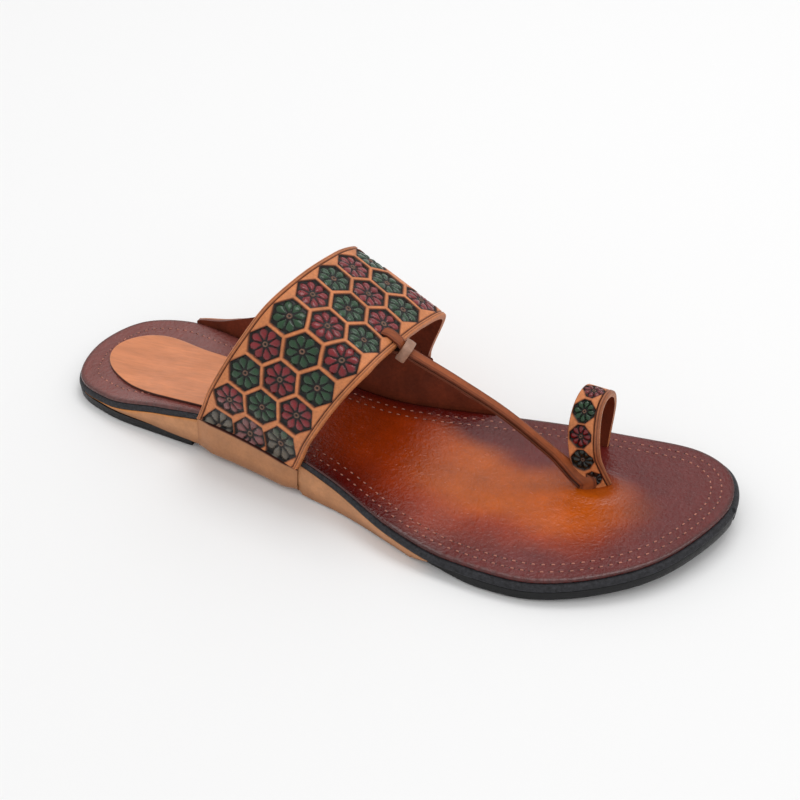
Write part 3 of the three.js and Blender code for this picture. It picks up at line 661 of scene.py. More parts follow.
def edge_lines(e, height, tint, gloss, groove=CREASE):
    """Creased grooves and rounded lips along a strap's long edge, e being the distance from it"""
    cut = stripe(e, groove, 0.42, 0.16)
    thin = stripe(e, THIN_CREASE, 0.26, 0.08)
    border = 1 - smooth(e, groove - 0.1, groove + 0.1)
    height = height * smooth(e, groove, groove + 0.5) - CREASE_DEPTH * cut + BORDER_RISE * border
    height = height - round_over(e, EDGE_RADIUS) - THIN_DEPTH * thin
    tint = mix3(tint, TAN * 0.96, border)
    tint = mix3(tint, DARK_LINE, np.maximum(cut, 0.7 * thin))
    gloss = gloss * (1 - border) * (1 - cut)
    return height, tint, gloss


def tail_point(u, v, drop, depth):
    """The tucked tails of the band, flat against the side of the sole"""
    p = band_point(u, v)
    side = "lateral" if u < 1 else "medial"
    y, nx, ny = edge_at(side, p[..., 0])
    out = GAP + depth
    z = np.maximum(p[..., 2] - drop, wedge_under(p[..., 0]) + TAIL_CLEARANCE)
    return np.stack([p[..., 0] + nx * out, y + ny * out, z], -1)


def strap_columns(face, back):
    """Material of each column of a strap's section: 0 is its leather and 1 its lining"""
    columns = np.zeros(face + back + 2, int)
    columns[face + 1:face + back] = 1
    return columns


def held(rows, before, after):
    """Rows with the first and the last one repeated"""
    return np.concatenate([rows[:1]] * before + [rows] + [rows[-1:]] * after, 0)


def band():
    """The tooled instep band with its grooved edges, lining and tucked tails"""
    dense = np.linspace(0, BAND_TOP, 2001)
    length = run_length(band_point(dense, 0.5))
    first, left_over, step = 0.4, 0.3, 0.34
    u = np.interp(np.arange(first, length[-1] - left_over, step), length, dense)[:, None]
    width = np.linalg.norm(band_point(u, 1) - band_point(u, 0), axis=-1)
    lip, border, middle_columns = 0.9, 4.2, 112
    rim = np.concatenate([np.linspace(0, lip, 6), np.linspace(lip, border, 12)[1:]])
    a = np.concatenate([
        np.broadcast_to(rim, (len(u), len(rim))),
        blend(border, width - border, np.linspace(0, 1, middle_columns)[None, 1:-1]),
        (width - rim[None, ::-1]),
    ], 1)
    v = a / width
    face = band_point(u, v)
    normal = band_normal(u, v)
    run = np.linalg.norm(np.diff(face, axis=0), axis=-1)
    s = np.concatenate([np.zeros((1, a.shape[1])), np.cumsum(run, 0)], 0)
    w = a - width / 2
    e = np.minimum(a, width - a)
    height, tint, gloss = band_pattern(s + CELL_SLANT * w, w)
    height, tint, gloss = edge_lines(e, height, tint, gloss)
    plain = smooth(s, PATTERN_END + 8, PATTERN_END + 30)
    tint = mix3(tint, tint * 0.7, plain)
    outer = face + normal * height[..., None]
    inner_v = np.linspace(1, 0, 14)[None, :]
    inner = band_point(u, inner_v) - band_normal(u, inner_v) * LEATHER
    front_edge = face[:, -1] - normal[:, -1] * LEATHER * 0.55
    rear_edge = face[:, 0] - normal[:, 0] * LEATHER * 0.55
    body = np.concatenate([outer, front_edge[:, None], inner, rear_edge[:, None]], 1)

    def tail(at, drop, thickness):
        vs = v[0 if at < 1 else -1]
        skin = tail_point(at, vs, drop, thickness)
        back = tail_point(at, inner_v[0], drop, 0)
        edges = tail_point(at, np.array([1.0, 0.0]), drop, thickness * 0.5)
        return np.concatenate([skin, edges[:1], back, edges[1:]], 0)[None]

    outer_tail = ((TAIL_DEPTH, SKIVED), (LATERAL_LEDGE, SKIVED), (0, LEATHER))
    inner_tail = (
        (0, LEATHER), (MEDIAL_LEDGE, LEATHER), (MEDIAL_STEP, SKIVED), (TAIL_DEPTH, SKIVED),
    )
    start = [tail(0, *row) for row in outer_tail]
    end = [tail(BAND_TOP, *row) for row in inner_tail]
    sections = np.concatenate([*start, body, *end], 0)
    back = inner_v.shape[1]
    other = np.repeat(mix3(TAN * 0.85, LINING, plain[:, :1]), back + 2, 1)
    tint = held(np.concatenate([tint, other], 1), len(start), len(end))
    gloss = held(np.concatenate([gloss, np.zeros((len(u), back + 2))], 1), len(start), len(end))
    columns = strap_columns(a.shape[1], back)
    section_piece("instep_band", sections, [painted, lining], "upper", tint, gloss, columns)


# Toe strap: two plies that clasp the band's front edge
STRAP_ROW = 4.2
STRAP_ENTRY = 0.84
STRAP_BOW = 4.2
STRAP_HALF = 2.3
ENTRY_HEIGHT = 1.7
TUCK = 0.9
PLY_MEET = 0.03
PLY_LIFT = PLY / 2 - 0.05
STRAP = {
    "x": (0, 0.3, 0.56, 0.8, 0.93, 1),
    "bow": (0, 0.62, 1, 0.62, 0.2, 0),
    "half": (1, 0.94, 0.91, 1, 1.22, 1.39),
}
# Where the plies grip the band: shares of its depth and lifts from its face
STRAP_CLASP = (
    (STRAP_ENTRY, -PLY_LIFT), (STRAP_ENTRY + 0.05, PLY_LIFT / 2), (0.96, PLY_LIFT), (1, PLY_LIFT),
)
STRAP_CORNER = 2 / 3.2
PLY_TONE = dye(146, 76, 42)
PLY_FLANK = dye(100, 48, 28)
PLY_LINE = dye(84, 40, 26)
PLY_SEAM_SHADE = dye(48, 22, 16)
UP = np.array([0.0, 0.0, 1.0])
slit = np.array([SLIT_X, SLIT_Y, foot_top(SLIT_X, SLIT_Y)])
slit_along = np.array([math.cos(SLIT_ANGLE), math.sin(SLIT_ANGLE), 0.0])
slit_across = np.array([-math.sin(SLIT_ANGLE), math.cos(SLIT_ANGLE), 0.0])
strap_start = band_point(STRAP_ROW, 1) - band_normal(STRAP_ROW, 1) * LEATHER / 2
strap_foot = slit - slit_along * SLIT_LENGTH / 4
strap_end = strap_foot + UP * ENTRY_HEIGHT
strap_direction = unit((strap_end - strap_start) * np.array([1, 1, 0]))
strap_width = np.array([-strap_direction[1], strap_direction[0], 0.0])


def strap_point(t):
    t = np.asarray(t, float)[..., None]
    bow = STRAP_BOW * column(STRAP, "bow", t)
    return blend(strap_start, strap_end, t) + bow * UP


def strap_normal(t):
    tangent = strap_point(min(t + 0.02, 1)) - strap_point(max(t - 0.02, 0))
    return unit(np.cross(tangent, strap_width))


def path_axes(centres, widths):
    """Unit directions across a path and out of its face"""
    tangent = unit(np.gradient(centres, axis=0))
    widths = unit(widths - tangent * np.sum(tangent * widths, 1, keepdims=True))
    return widths, unit(np.cross(tangent, widths))


def rounded(angle, corner):
    """A rectangle with rounded corners, at the given angles"""
    c, s = np.cos(angle), np.sin(angle)
    return np.sign(c) * np.abs(c) ** corner, np.sign(s) * np.abs(s) ** corner


def dense_path(points, steps):
    points = [np.array(p) for p in points]
    return np.array([curve_point(points, t, False) for t in np.linspace(0, 1, steps)])


def strap_plies():
    """Closed sections with rounded corners along each ply, down into the slit"""
    steps, around = 170, 20
    angle = np.arange(around) / around * 2 * math.pi
    c, d = rounded(angle, STRAP_CORNER)
    flank = smooth(np.abs(np.cos(angle)), 0.72, 0.98)
    line = stripe(np.abs(np.cos(angle)), 0.6, 0.2, 0.08)
    for side, name in ((1, "toe_strap_upper_ply"), (-1, "toe_strap_lower_ply")):
        rows = []
        depth = 0 if side > 0 else LEATHER
        for v, lift in STRAP_CLASP:
            centre = band_point(STRAP_ROW, v) + band_normal(STRAP_ROW, v) * (side * lift - depth)
            rows.append((*centre, STRAP_HALF, *strap_width))
        for t in np.linspace(PLY_MEET, 1, 17):
            centre = strap_point(t) + strap_normal(t) * side * PLY_LIFT
            width = unit(blend(strap_width, slit_along, smooth(t, 0.8, 1)))
            rows.append((*centre, STRAP_HALF * column(STRAP, "half", t), *width))
        centre = strap_foot - slit_across * side * PLY_LIFT - UP * TUCK
        rows.append((*centre, *rows[-1][3:]))
        path = dense_path(rows, steps)
        widths, normal = path_axes(path[:, :3], path[:, 4:])
        across = widths[:, None] * (path[:, 3, None] * c)[..., None]
        sections = path[:, None, :3] + across + normal[:, None] * (d * PLY / 2)[:, None]
        # The faces of the two plies that face each other are painted near-black: painted shade in
        # the gap between the plies
        seam = smooth(-side * np.sin(angle), 0.3, 0.8)
        tint = PLY_TONE
        for colour, share in ((PLY_FLANK, flank), (PLY_LINE, line * 0.7), (PLY_SEAM_SHADE, seam)):
            tint = mix3(tint, colour, share)
        section_piece(name, sections, [strap_leather], "upper", tint)


# Toe ring
RING_SPAN = 25.5
RING_RISE = 31.2
RING_WIDTH = 11.8
RING_START_Y = SLIT_Y - 1
RING_ROWS = {
    "across": (0.12, 0.05, 0.01, 0.02, 0.08, 0.19, 0.33, 0.48, 0.65, 0.81, 0.935, 1, 1, 0.975),
    "rise": (-0.03, 0.13, 0.33, 0.51, 0.68, 0.84, 0.95, 1, 0.97, 0.87, 0.7, 0.49, 0.24, -0.03),
    "along": (2.7, -0.2, -3.7, -5.1, -6.1, -6.8, -7.1, -7, -7, -7.2, -7.6, -8.2, -8.7, -9),
    "half": (0.52, 0.72, 0.94, 1, 1, 0.95, 0.9, 0.87, 0.85, 0.84, 0.82, 0.79, 0.75, 0.71),
    "twist": (0.67, 0.5, 0.2, 0, 0, 0, 0, 0, 0, 0, 0, 0, 0, 0),
}
MEDALLION_PITCH = 8.9
MEDALLION_FIRST = 5.7
MEDALLION_SHIFT = -1.0
MEDALLION_SIZE = 4.2
MEDALLION_MARGIN = 1.2
MEDALLION_PETAL = 3.85
RING_CREASE = 1.9
RING_EDGE_RADIUS = 0.6
RING_SHADE = dye(92, 48, 40)


def toe_ring():
    """The ring over the big toe, with a row of painted flowers and a groove near its front edge"""
    path = dense_path([
        (SLIT_X + along, RING_START_Y + RING_SPAN * across, slit[2] + RING_RISE * rise,
         half * RING_WIDTH / 2, twist)
        for across, rise, along, half, twist in zip(*RING_ROWS.values())
    ], 300)
    centres = path[:, :3]
    half = path[:, 3, None]
    widths = np.stack([np.cos(path[:, 4]), np.sin(path[:, 4]), np.zeros(len(path))], 1)
    widths, inward = path_axes(centres, widths)
    s = run_length(centres)[:, None]
    lip = 0.9
    rim = np.linspace(0, lip, 5)
    a = np.concatenate([
        np.broadcast_to(rim, (len(half), len(rim))),
        blend(lip, 2 * half - lip, np.linspace(0, 1, 46)[None, 1:-1]),
        2 * half - rim[::-1],
    ], 1)
    w = a - half
    front = 2 * half - a
    index = np.round((s - MEDALLION_FIRST) / MEDALLION_PITCH)
    x = np.broadcast_to(s - MEDALLION_FIRST - index * MEDALLION_PITCH, w.shape)
    y = w - MEDALLION_SHIFT * half / (RING_WIDTH / 2)
    d = np.maximum(np.maximum(np.abs(x), np.abs(y)), (np.abs(x) + np.abs(y)) * 0.765)
    inner = np.minimum(MEDALLION_SIZE, half - MEDALLION_MARGIN) - d
    paint = np.where((np.mod(index, 2) < 0.5)[..., None], RED * 0.75, GREEN * 0.8)
    # The first medallions, nearest the ring's start, are darkened to near-black green: painted
    # shade over their green paint
    paint = blend(paint, GREEN * 0.12, smooth(-s, -20, -17)[..., None])
    paint = np.where((index < 1)[..., None], GROUND, paint)
    paint = np.broadcast_to(paint, (*d.shape, 3))
    height, tint, gloss = flower(x, y, inner, MEDALLION_PETAL, paint)
    height, tint, gloss = edge_lines(front, height, tint, gloss, RING_CREASE)
    tint = mix3(tint, RING_SHADE, 0.55 * (1 - smooth(front, 1, 2.2)))
    height = height - round_over(a, RING_EDGE_RADIUS)
    tint = mix3(tint, DARK_LINE, stripe(a, 0.25, 0.2, 0.05) * 0.7)

    def at(across, rise):
        return centres[:, None] + widths[:, None] * across[..., None] - inward[:, None] * rise

    back = at(np.linspace(1, -1, 8) * half * 0.97, -RING / 2)
    face = at(w, (RING / 2 + height)[..., None])
    sections = np.concatenate([face, at(half, 0), back, at(-half, 0)], 1)
    other = np.broadcast_to(TAN * 0.8, (len(half), back.shape[1] + 2, 3))
    tint = np.concatenate([tint, other], 1)
    gloss = np.concatenate([gloss, np.zeros(other.shape[:2])], 1)
    columns = strap_columns(a.shape[1], back.shape[1])
    section_piece("toe_ring", sections, [painted, lining], "upper", tint, gloss, columns)


# The keeper's section, as shifts along the strap and lifts from its opening
KEEPER_PROFILE = (
    (-1.8, 0), (-1.8, 0.55), (-1.5, 0.8), (0, 0.86),
    (1.5, 0.8), (1.8, 0.55), (1.8, 0), (0, 0),
)
KEEPER_OPENING = 0.95
KEEPER_CORNER = 0.35


def keeper():
    """The small pale ring round both plies, just ahead of the band"""
    place = PLY_MEET + 0.01
    centre = strap_point(place)
    normal = strap_normal(place)
    along = np.cross(strap_width, normal)
    half = STRAP_HALF * column(STRAP, "half", place) + GAP
    deep = PLY + KEEPER_OPENING + GAP
    c, d = rounded(np.linspace(0, 2 * math.pi, 48, endpoint=False)[:, None], KEEPER_CORNER)
    rows = [
        centre + strap_width * (half + lift) * c + normal * (deep + lift) * d + along * shift
        for shift, lift in KEEPER_PROFILE
    ]
    points = np.stack(rows, 1)
    points = np.concatenate([points, points[:1]], 0)
    quads, _ = ring_faces(*points.shape[:2])
    node = "strap_keeper"
    piece("strap_keeper_ring", points.reshape(-1, 3), quads, [keeper_leather], node)


# Layers of the sole


def slab(xs, levels, across):
    """Closed sections of a layer from levels, each an outline offset and a height, bottom first"""

    def line(level, shares):
        offset, height = level
        ends = []
        for side in ("lateral", "medial"):
            y, nx, ny = edge_at(side, xs)
            d = offset(side, xs)
            x = xs + nx * d
            if xs[0] > 0:
                x[0] = xs[0]
            if xs[-1] < TOE_TIP_X - 1e-6:
                x[-1] = xs[-1]
            ends.append((x[:, None], (y + ny * d)[:, None]))
        x, y = (blend(a, b, np.asarray(shares)[None]) for a, b in zip(*ends))
        return np.stack([x, y, height(x, y)], -1)

    parts = [line(levels[-1], np.linspace(0, 1, across + 1))]
    parts += [line(level, [1]) for level in reversed(levels[1:-1])]
    parts.append(line(levels[0], np.linspace(1, 0, 7)))
    parts += [line(level, [0]) for level in levels[1:-1]]
    return np.concatenate(parts, 1)


def round_ends(start, stop, count, back=True, front=True):
    """Places along a layer, closer together at its round ends"""
    t = np.linspace(0, 1, count)
    if back and front:
        t = (1 - np.cos(math.pi * t)) / 2
    elif back:
        t = 1 - np.cos(math.pi / 2 * t)
    else:
        t = np.sin(math.pi / 2 * t)
    return start + (stop - start) * t


def rim_at(side, x):
    return station("rim_" + side, x)


def inset(share, less=0):
    """The offset of a level: a share of the rim, less a length"""
    return lambda side, x: rim_at(side, x) * share - less


def tucked(share):
    """The same for the runner, whose skived back end is drawn in under the waist"""

    def offset(side, x):
        back = 1 - smooth(x, OUTSOLE_BACK_X, OUTSOLE_BACK_X + OUTSOLE_TUCK_LENGTH)
        return rim_at(side, x) * share - OUTSOLE_TUCK * back

    return offset


def sole_layer(name, node, xs, shape, height, material, across=8, offset=inset):
    """A layer of the sole; each row of shape is a share of the rim and one of the layer's height"""
    levels = [(offset(rim), lambda x, y, share=share: height(x, y, share)) for rim, share in shape]
    section_piece(name, slab(xs, levels, across), [material], node)


lateral_edge, medial_edge = (np.stack(SIDES[side][:2], 1) for side in ("lateral", "medial"))
SOLE_EDGE = np.concatenate([lateral_edge, medial_edge[::-1]])[::3]


def edge_distance(x, y):
    """How far points of the footbed lie from its outline"""
    best = np.full(x.shape, FAR)
    for edge_x, edge_y in SOLE_EDGE:
        best = np.minimum(best, np.hypot(x - edge_x, y - edge_y))
    return best


MAROON = dye(104, 34, 30)
DUSTY = dye(118, 62, 56)
BURNISH = dye(180, 82, 8)
EMBER = dye(150, 48, 4)
WAIST_EDGE = dye(82, 14, 9)
DEEP = dye(52, 16, 12)
TOE_TONE = dye(98, 34, 32)
WARM = dye(186, 80, 8)
# The bright pool of the footbed: its two long edges, in shares of the ball's width
POOL = {
    "x": (0.36, 0.47, 0.55, 0.65, 0.75, 0.84, 0.92),
    "low": (-0.28, -0.35, -0.4, -0.46, -0.45, -0.36, -0.22),
    "high": (0.1, 0.13, 0.15, 0.15, 0.13, 0.12, 0.08),
}


def footbed_tint(x, y):
    """Burnished leather: dusty at the heel, a bright orange pool from the band to the ring's foot,
    deep red-brown along the edges and maroon at the toe"""
    d = edge_distance(x, y)
    wave = 2.6 * np.sin(x / 11.0 + y / 23)
    wave = wave + 1.8 * np.sin(y / 6.0 + x / 19) + 1.2 * np.sin(x / 4.3 - y / 7)
    share = x / FOOTBED
    low = y + wave - column(POOL, "low", share) * BALL
    high = column(POOL, "high", share) * BALL - y + wave
    pool = smooth(low, -4, 17) * smooth(high, -5, 9)
    pool = pool * smooth(x, 78, 104) * (1 - smooth(x + wave, 214, 246))
    tint = mix3(DUSTY, MAROON, smooth(x, 55, 95))
    tint = mix3(tint, TOE_TONE, smooth(x, 200, 235))
    dark = smooth(x, 90, 115) * (1 - smooth(x, 165, 215)) * (1 - smooth(d, 8, 26))
    tint = mix3(tint, WAIST_EDGE, dark)
    glow = mix3(EMBER, BURNISH, smooth(x, 140, 175) * smooth(low, 8, 26))
    tint = mix3(tint, glow, pool ** 0.8)
    warm = np.exp(-((x - 214) / 14) ** 2 - ((y + 9) / 13) ** 2)
    tint = mix3(tint, WARM, warm * 0.6)
    rim = 1 - smooth(d, 0, 2.2)
    return mix3(tint, DEEP, rim * 0.75)


def footbed():
    """The insole, drawn down into the slit and puckered round it"""

    def top(x, y):
        r = np.hypot((x - SLIT_X) * 0.8, y - SLIT_Y)
        pucker = 0.6 * np.exp(-((r - 7) / 3) ** 2) - 0.3 * np.exp(-(r / 4.5) ** 2)
        return foot_top(x, y) + pucker

    edge = ((0, INSOLE), (0, 0.55), (0.12, 0.2))
    levels = [(inset(0, less), lambda x, y, z=z: foot_top(x, y) - z) for less, z in edge]
    sections = slab(round_ends(0, TOE_TIP_X, 230), levels + [(inset(0, 0.5), top)], 84)
    tint = footbed_tint(sections[..., 0], sections[..., 1])
    section_piece("footbed_skin", sections, [insole_leather], "insole", tint)


TOPSOLE_SHAPE = ((0.86, 1), (1, 0.8), (1, 0.62), (0.85, 0.35), (0.55, 0.12), (0.1, 0))
LIFT_SHAPE = ((0.5, 0), (0.62, 0.3), (0.9, RUNNER))
OUTSOLE_SHAPE = ((0.3, 0), (0.75, 0.12), (0.9, 0.45), (0.86, 0.8), (0.8, 1))


def topsole_height(x, y, share):
    return foot_top(x, y) - INSOLE - GAP - TOPSOLE * share


def lift_height(x, y, rise):
    return 0 * x + rise


def outsole_height(x, y, share):
    return blend(spring(x), outsole_top(x), share)


WEDGE_TONE = dye(186, 130, 88)
WEDGE_GLUE = dye(214, 132, 52)
WEDGE_FOOT_SHADE = dye(120, 74, 44)


def wedge():
    """The leather packing under the waist; its outer side swells to meet the ends of the wrap"""

    def tuck(x):
        return column(WAIST_ROWS, "tuck", x / FOOTBED)

    def top(x, y):
        return topsole_height(x, y, 1) - GAP

    def under(x, y):
        return np.minimum(wedge_under(x), top(x, y) - WEDGE_FEATHER)

    def flare(side, x):
        away = np.maximum(WRAP_BACK_X - GAP - x, x - WRAP_FRONT_X - GAP)
        swell = FLARE * (1 - smooth(away, 0, FLARE_LENGTH))
        return np.where((away < 0) | (side == "medial"), 0, swell)

    def level(rim, tucked_in, swollen, rise):
        return (
            lambda side, x: rim_at(side, x) * rim - tuck(x) * tucked_in + flare(side, x) * swollen,
            lambda x, y: blend(under(x, y), top(x, y), rise),
        )

    back, front = WRAP_BACK_X - GAP, WRAP_FRONT_X + GAP
    ends = (back, back + 0.1, front - 0.1, front)
    xs = np.sort(np.concatenate([np.linspace(WEDGE_BACK_X, WEDGE_FRONT_X, 170), ends]))
    shape = ((0.5, 1, 1, 0), (0.62, 0.4, 1, 0.5), (0.8, 0, 0.5, 0.92), (0.78, 0, 0, 1))
    sections = slab(xs, [level(*row) for row in shape], 4)
    x, y, z = np.moveaxis(sections, -1, 0)
    glue = smooth(z - top(x, y), -0.45, -0.2) * smooth(-x, -80, -60)
    # Darker along the wedge's lower edge: painted shade where it meets the layers under it
    foot = 1 - smooth(z - under(x, y), 0, 0.5)
    tint = mix3(WEDGE_TONE, WEDGE_GLUE, glue * 0.8)
    tint = mix3(tint, WEDGE_FOOT_SHADE, foot * 0.6)
    section_piece("wedge_leather_stack", sections, [wedge_leather], "wedge", tint)


WRAP_TONE = dye(172, 116, 74)
WRAP_END_SHADE = dye(140, 86, 50)
WRAP_LOW_SHADE = dye(128, 82, 50)


def waist_wrap():
    """The tan skin lapped under the waist, with a soft crease at each end of its near side"""
    count, reach, corner, bulge = 90, 0.2, 2.6, 0.9
    xs = np.linspace(WRAP_BACK_X - reach, WRAP_FRONT_X + reach, count)

    def line(x, outer_top, inner_top, low, depth, soft):
        out = 2 * GAP + SKIVED + depth - soft
        yl = edge_at("lateral", x)[0] - out
        ym = edge_at("medial", x)[0] + out
        return [(x, y, z) for y, z in (
            (yl + 0.25, outer_top), (yl - 0.1, outer_top - 0.35),
            (yl - bulge * 0.7, blend(outer_top, low, 0.5)), (yl - bulge, low + corner),
            (yl - bulge * 0.5, low + corner * 0.55), (yl + corner * 0.1, low + corner * 0.25),
            (yl + corner * 0.5, low + corner * 0.06), (yl + corner, low), (blend(yl, ym, 0.5), low),
            (ym - corner, low), (ym - corner * 0.1, low + corner * 0.25),
            (ym + bulge / 2, low + corner), (ym, inner_top),
        )]

    rows = []
    for x, share in zip(xs, np.arange(count) / (count - 1)):
        inner_y = edge_at("medial", x)[0]
        outer_top = band_point(0, share)[2] - LATERAL_LEDGE - GAP
        tops = (outer_top, foot_top(x, inner_y) - MEDIAL_STEP - GAP)
        under = float(wedge_under(x)) - GAP
        soft = 1.35 * (1 - smooth(min(share, 1 - share), 0, 0.16))
        skin = line(x, *tops, under - WRAP + soft * 0.3, WRAP, soft)
        rows.append(skin + line(x, *tops, under, 0, 0)[::-1])
    sections = np.array(rows)
    ends = np.minimum(sections[..., 0] - xs[0], xs[-1] - sections[..., 0])
    # The columns round the bulge and the underside are darker: painted shade on the wrap's lower
    # part
    lower = np.zeros(sections.shape[:2])
    lower[:, 3:10] = 0.5
    top_edge = np.zeros(sections.shape[:2])
    top_edge[:, [0, -1]] = 1
    # The wrap darkens a little towards its ends: painted shade of the creases where it meets the
    # wedge
    tint = mix3(WRAP_TONE, WRAP_END_SHADE, (1 - smooth(ends, 0, 1.6)) * 0.3)
    tint = mix3(tint, WRAP_LOW_SHADE, lower)
    tint = mix3(tint, DARK_LINE, top_edge)
    section_piece("waist_wrap_skin", sections, [wrap_leather], "waist_wrap", tint)


PAD_TONE = dye(206, 128, 84)
PAD_EDGE = dye(72, 40, 30)


def heel_pad():
    """The thin sock at the heel, with a crowned edge and a dark edge round it, partly its own tone
    and partly painted shade
    """
    xs = round_ends(PAD_BACK_X, PAD_FRONT_X, 120, front=False)
    s = clamp01((xs - PAD_BACK_X) / PAD_ROUND)
    half = PAD_WIDTH / 2 * np.sqrt(np.maximum(1 - (1 - s) ** PAD_POWER, 0))
    middle = (edge_at("lateral", xs)[0] + edge_at("medial", xs)[0]) / 2
    middle = middle - PAD_SHIFT * smooth(xs, PAD_BACK_X, PAD_SHIFT_END)
    across = np.concatenate([[-1.0], np.linspace(-0.985, 0.985, 40), [1.0]])
    x = np.broadcast_to(xs[:, None], (len(xs), len(across)))
    y = middle[:, None] + half[:, None] * across
    base = foot_top(x, y) + GAP
    crown = 1 - smooth(np.abs(across), 0.97, 1) * 0.28
    top = np.stack([x, y, base + PAD * crown], -1)
    low = np.stack([x, y, base], -1)[:, ::-1][:, [0, 10, 20, 30, -1]]
    sections = np.concatenate([top, low], 1)
    # The pad's rim and cut side are painted dark: partly the cut edge's own tone, partly painted
    # shade of its slight shadow
    edge = np.zeros(sections.shape[:2])
    edge[:, 0] = 1
    edge[:, len(across) - 1:] = 1
    tint = mix3(PAD_TONE, PAD_EDGE, edge)
    section_piece("heel_pad_sock", sections, [pad_leather], "heel_pad", tint)


# Seams of the footbed: short stitches in needle holes, the holes drawn as dark discs of painted
# shade
STITCH_PITCH = 3.4
STITCH_LENGTH = 1.5
# One stitch from end to end: place along it, radius and lift over the footbed
STITCH_RINGS = (
    (-0.5, 0.14, -0.3), (-0.4, 0.23, -0.05), (-0.15, 0.27, 0.06),
    (0.15, 0.27, 0.06), (0.4, 0.23, -0.05), (0.5, 0.14, -0.3),
)
# Each row's distance from the footbed's edge, and where it starts
STITCH_ROWS = (
    (lambda x: 0 * x + 4.5, 0.36 * FOOTBED),
    (lambda x: 7.0 + smooth(x, 60, 110) * 1.2, 0),
)


def seam(distance, first_x):
    """Stitch places along the outline drawn inward by a distance, ahead of first_x"""
    points = []
    for side in ("lateral", "medial"):
        xs, ys, normal = SIDES[side]
        d = distance(xs)
        line = np.stack([xs - normal[:, 0] * d, ys - normal[:, 1] * d], 1)
        points.append(line if side == "lateral" else line[::-1])
    line = np.concatenate(points)
    line = line[line[:, 0] >= first_x - 0.01]
    run = run_length(line)
    end_room, ahead = 2, 0.5
    at = np.arange(end_room, run[-1] - end_room, STITCH_PITCH)
    here, next_to = (
        np.stack([np.interp(at + d, run, line[:, k]) for k in (0, 1)], 1) for d in (0, ahead)
    )
    return here, unit(next_to - here)


def circle(count):
    turn = 2 * math.pi * np.arange(count)[:, None] / count
    return np.cos(turn), np.sin(turn)


def stitches():
    """Short rounded threads, each between two needle holes, which are dark discs of painted shade
    """
    thread_points, thread_faces, hole_points, hole_faces = [], [], [], []
    around, hole_corners = 8, 10
    c, s = circle(around)
    hole_c, hole_s = circle(hole_corners)
    for distance, first in STITCH_ROWS:
        for (x, y), (dx, dy) in zip(*seam(distance, first)):
            centre = np.array([x, y, foot_top(x, y)])
            across = np.array([-dy, dx, 0])
            forward = np.array([dx, dy, 0])
            quads, ends = ring_faces(len(STITCH_RINGS), around, len(thread_points))
            thread_faces += quads + ends
            for along, radius, lift in STITCH_RINGS:
                offset = across * c * radius + UP * (s * radius * 0.55 + lift)
                thread_points.extend(centre + forward * along * STITCH_LENGTH + offset)
            # Each needle hole is a flat dark disc: painted shade of the hole
            for end in (-0.55, 0.55):
                hole_faces.append(list(range(len(hole_points), len(hole_points) + hole_corners)))
                spot = centre + forward * (end * STITCH_LENGTH + hole_c * 0.3)
                hole_points.extend(spot + across * hole_s * 0.26 + UP * 0.035)
    piece("footbed_stitches", np.array(thread_points), thread_faces, [thread], None)
    piece("stitch_hole_shades", np.array(hole_points), hole_faces, [hole_shade], None)


band()
strap_plies()
toe_ring()
keeper()
footbed()
sole_layer("topsole_board", "topsole", round_ends(0, TOE_TIP_X, 160), TOPSOLE_SHAPE, topsole_height,
           edge_paint, across=6)
sole_layer("heel_lift_rubber", "heel_lift", round_ends(0, BREAST_X, 60, front=False), LIFT_SHAPE,
           lift_height, black_rubber)
sole_layer("forefoot_outsole_rubber", "forefoot_outsole",
           round_ends(OUTSOLE_BACK_X, TOE_TIP_X, 110, back=False), OUTSOLE_SHAPE, outsole_height,
           black_rubber, offset=tucked)
wedge()
waist_wrap()
heel_pad()
stitches()

# Stage: a white floor and a white room with soft lights
FLOOR_REACH = 6.0
FLOOR_DROP = 0.0004
FLOOR_LEVEL = 0.86
ROOM_LEVEL = 0.86
OPENING_DEPTH = 0.78


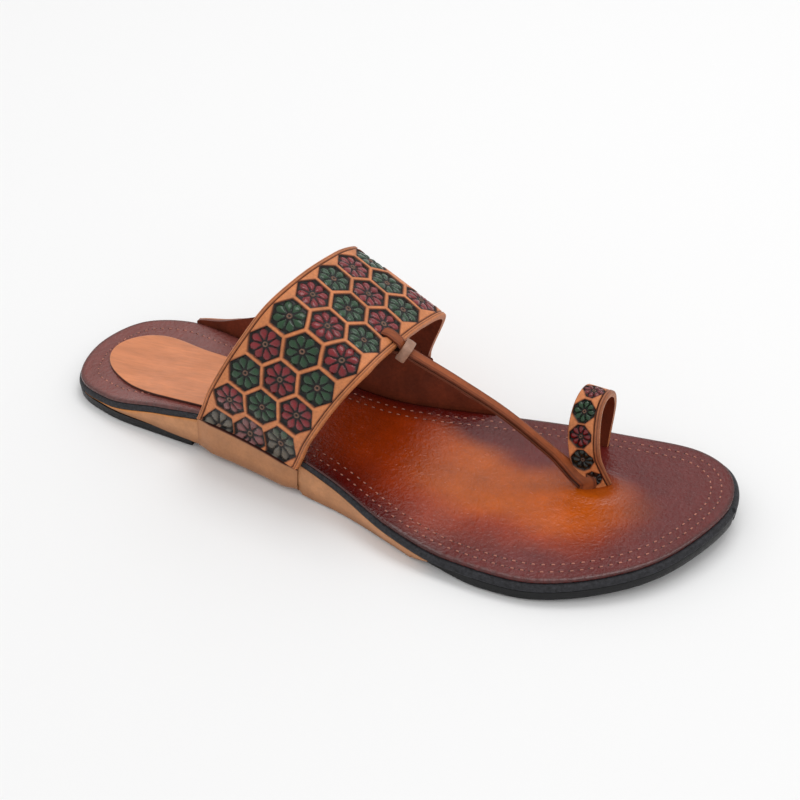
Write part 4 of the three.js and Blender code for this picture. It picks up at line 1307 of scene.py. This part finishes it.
def floor():
    mesh = bpy.data.meshes.new("floor")
    signs = ((-1, -1), (1, -1), (1, 1), (-1, 1))
    corners = [(FLOOR_REACH * a, FLOOR_REACH * b, 0) for a, b in signs]
    mesh.from_pydata(corners, [], [(0, 1, 2, 3)])
    n = Nodes("white_floor")
    colour = (*[FLOOR_LEVEL] * 3, 1)
    n.fill({"Base Color": colour, "Roughness": 0.6, "Specular IOR Level": 0.2})
    mesh.materials.append(n.owner)
    obj = placed("floor", mesh)
    obj.location.z = -FLOOR_DROP


def room():
    """White walls all round, with one dark opening that the footbed's waist mirrors"""
    n = Nodes("white_room", "worlds", "Background")
    way = n.add("TexCoord", "Generated", {})
    x, y, z = (n.add("SeparateXYZ", axis, {"Vector": way}) for axis in "XYZ")
    turn = n.maths("DIVIDE", x, y)
    opening = n.step(n.maths("MULTIPLY", turn, -1), 0.525, 0.56)
    for value, low, high in ((turn, -0.8, -0.7), (y, 0.2, 0.4), (z, 0.2, 0.4)):
        opening = n.maths("MULTIPLY", opening, n.step(value, low, high))
    level = n.maths("SUBTRACT", ROOM_LEVEL, n.maths("MULTIPLY", opening, OPENING_DEPTH))
    n.fill({"Strength": level, "Color": (1, 1, 1, 1)})
    bpy.context.scene.world = n.owner


def light(name, place, target, size, power):
    data = bpy.data.lights.new(name, "AREA")
    data.shape = "RECTANGLE"
    data.size, data.size_y = size
    data.energy = power
    obj = placed(name, data)
    obj.location = place
    obj.rotation_mode = "QUATERNION"
    obj.rotation_quaternion = (Vector(target) - Vector(place)).to_track_quat("-Z", "Y")


def camera():
    """The photograph's camera, whose place and axes were fitted to the sole's outline"""
    place = row_frame((370.72, -413.71, 381.70))
    right = Vector((0.87960, 0.47546, -0.01556))
    up = Vector((-0.27419, 0.53344, 0.80016))
    back = right.cross(up)
    data = bpy.data.cameras.new("camera")
    data.sensor_width = 36.0
    data.lens = 72.1
    obj = placed("camera", data)
    turn = Matrix((right, up, back)).transposed().to_4x4()
    obj.matrix_world = Matrix.Translation(Vector(place)) @ turn
    bpy.context.scene.camera = obj


floor()
room()
bpy.context.scene.view_settings.view_transform = "Standard"
light("key", (0.05, 0.45, 1.3), (0, 0, 0.02), (0.9, 0.6), 5.5)
light("fill", (0.9, -0.9, 0.9), (0, 0, 0.02), (0.8, 0.8), 1.5)
camera()
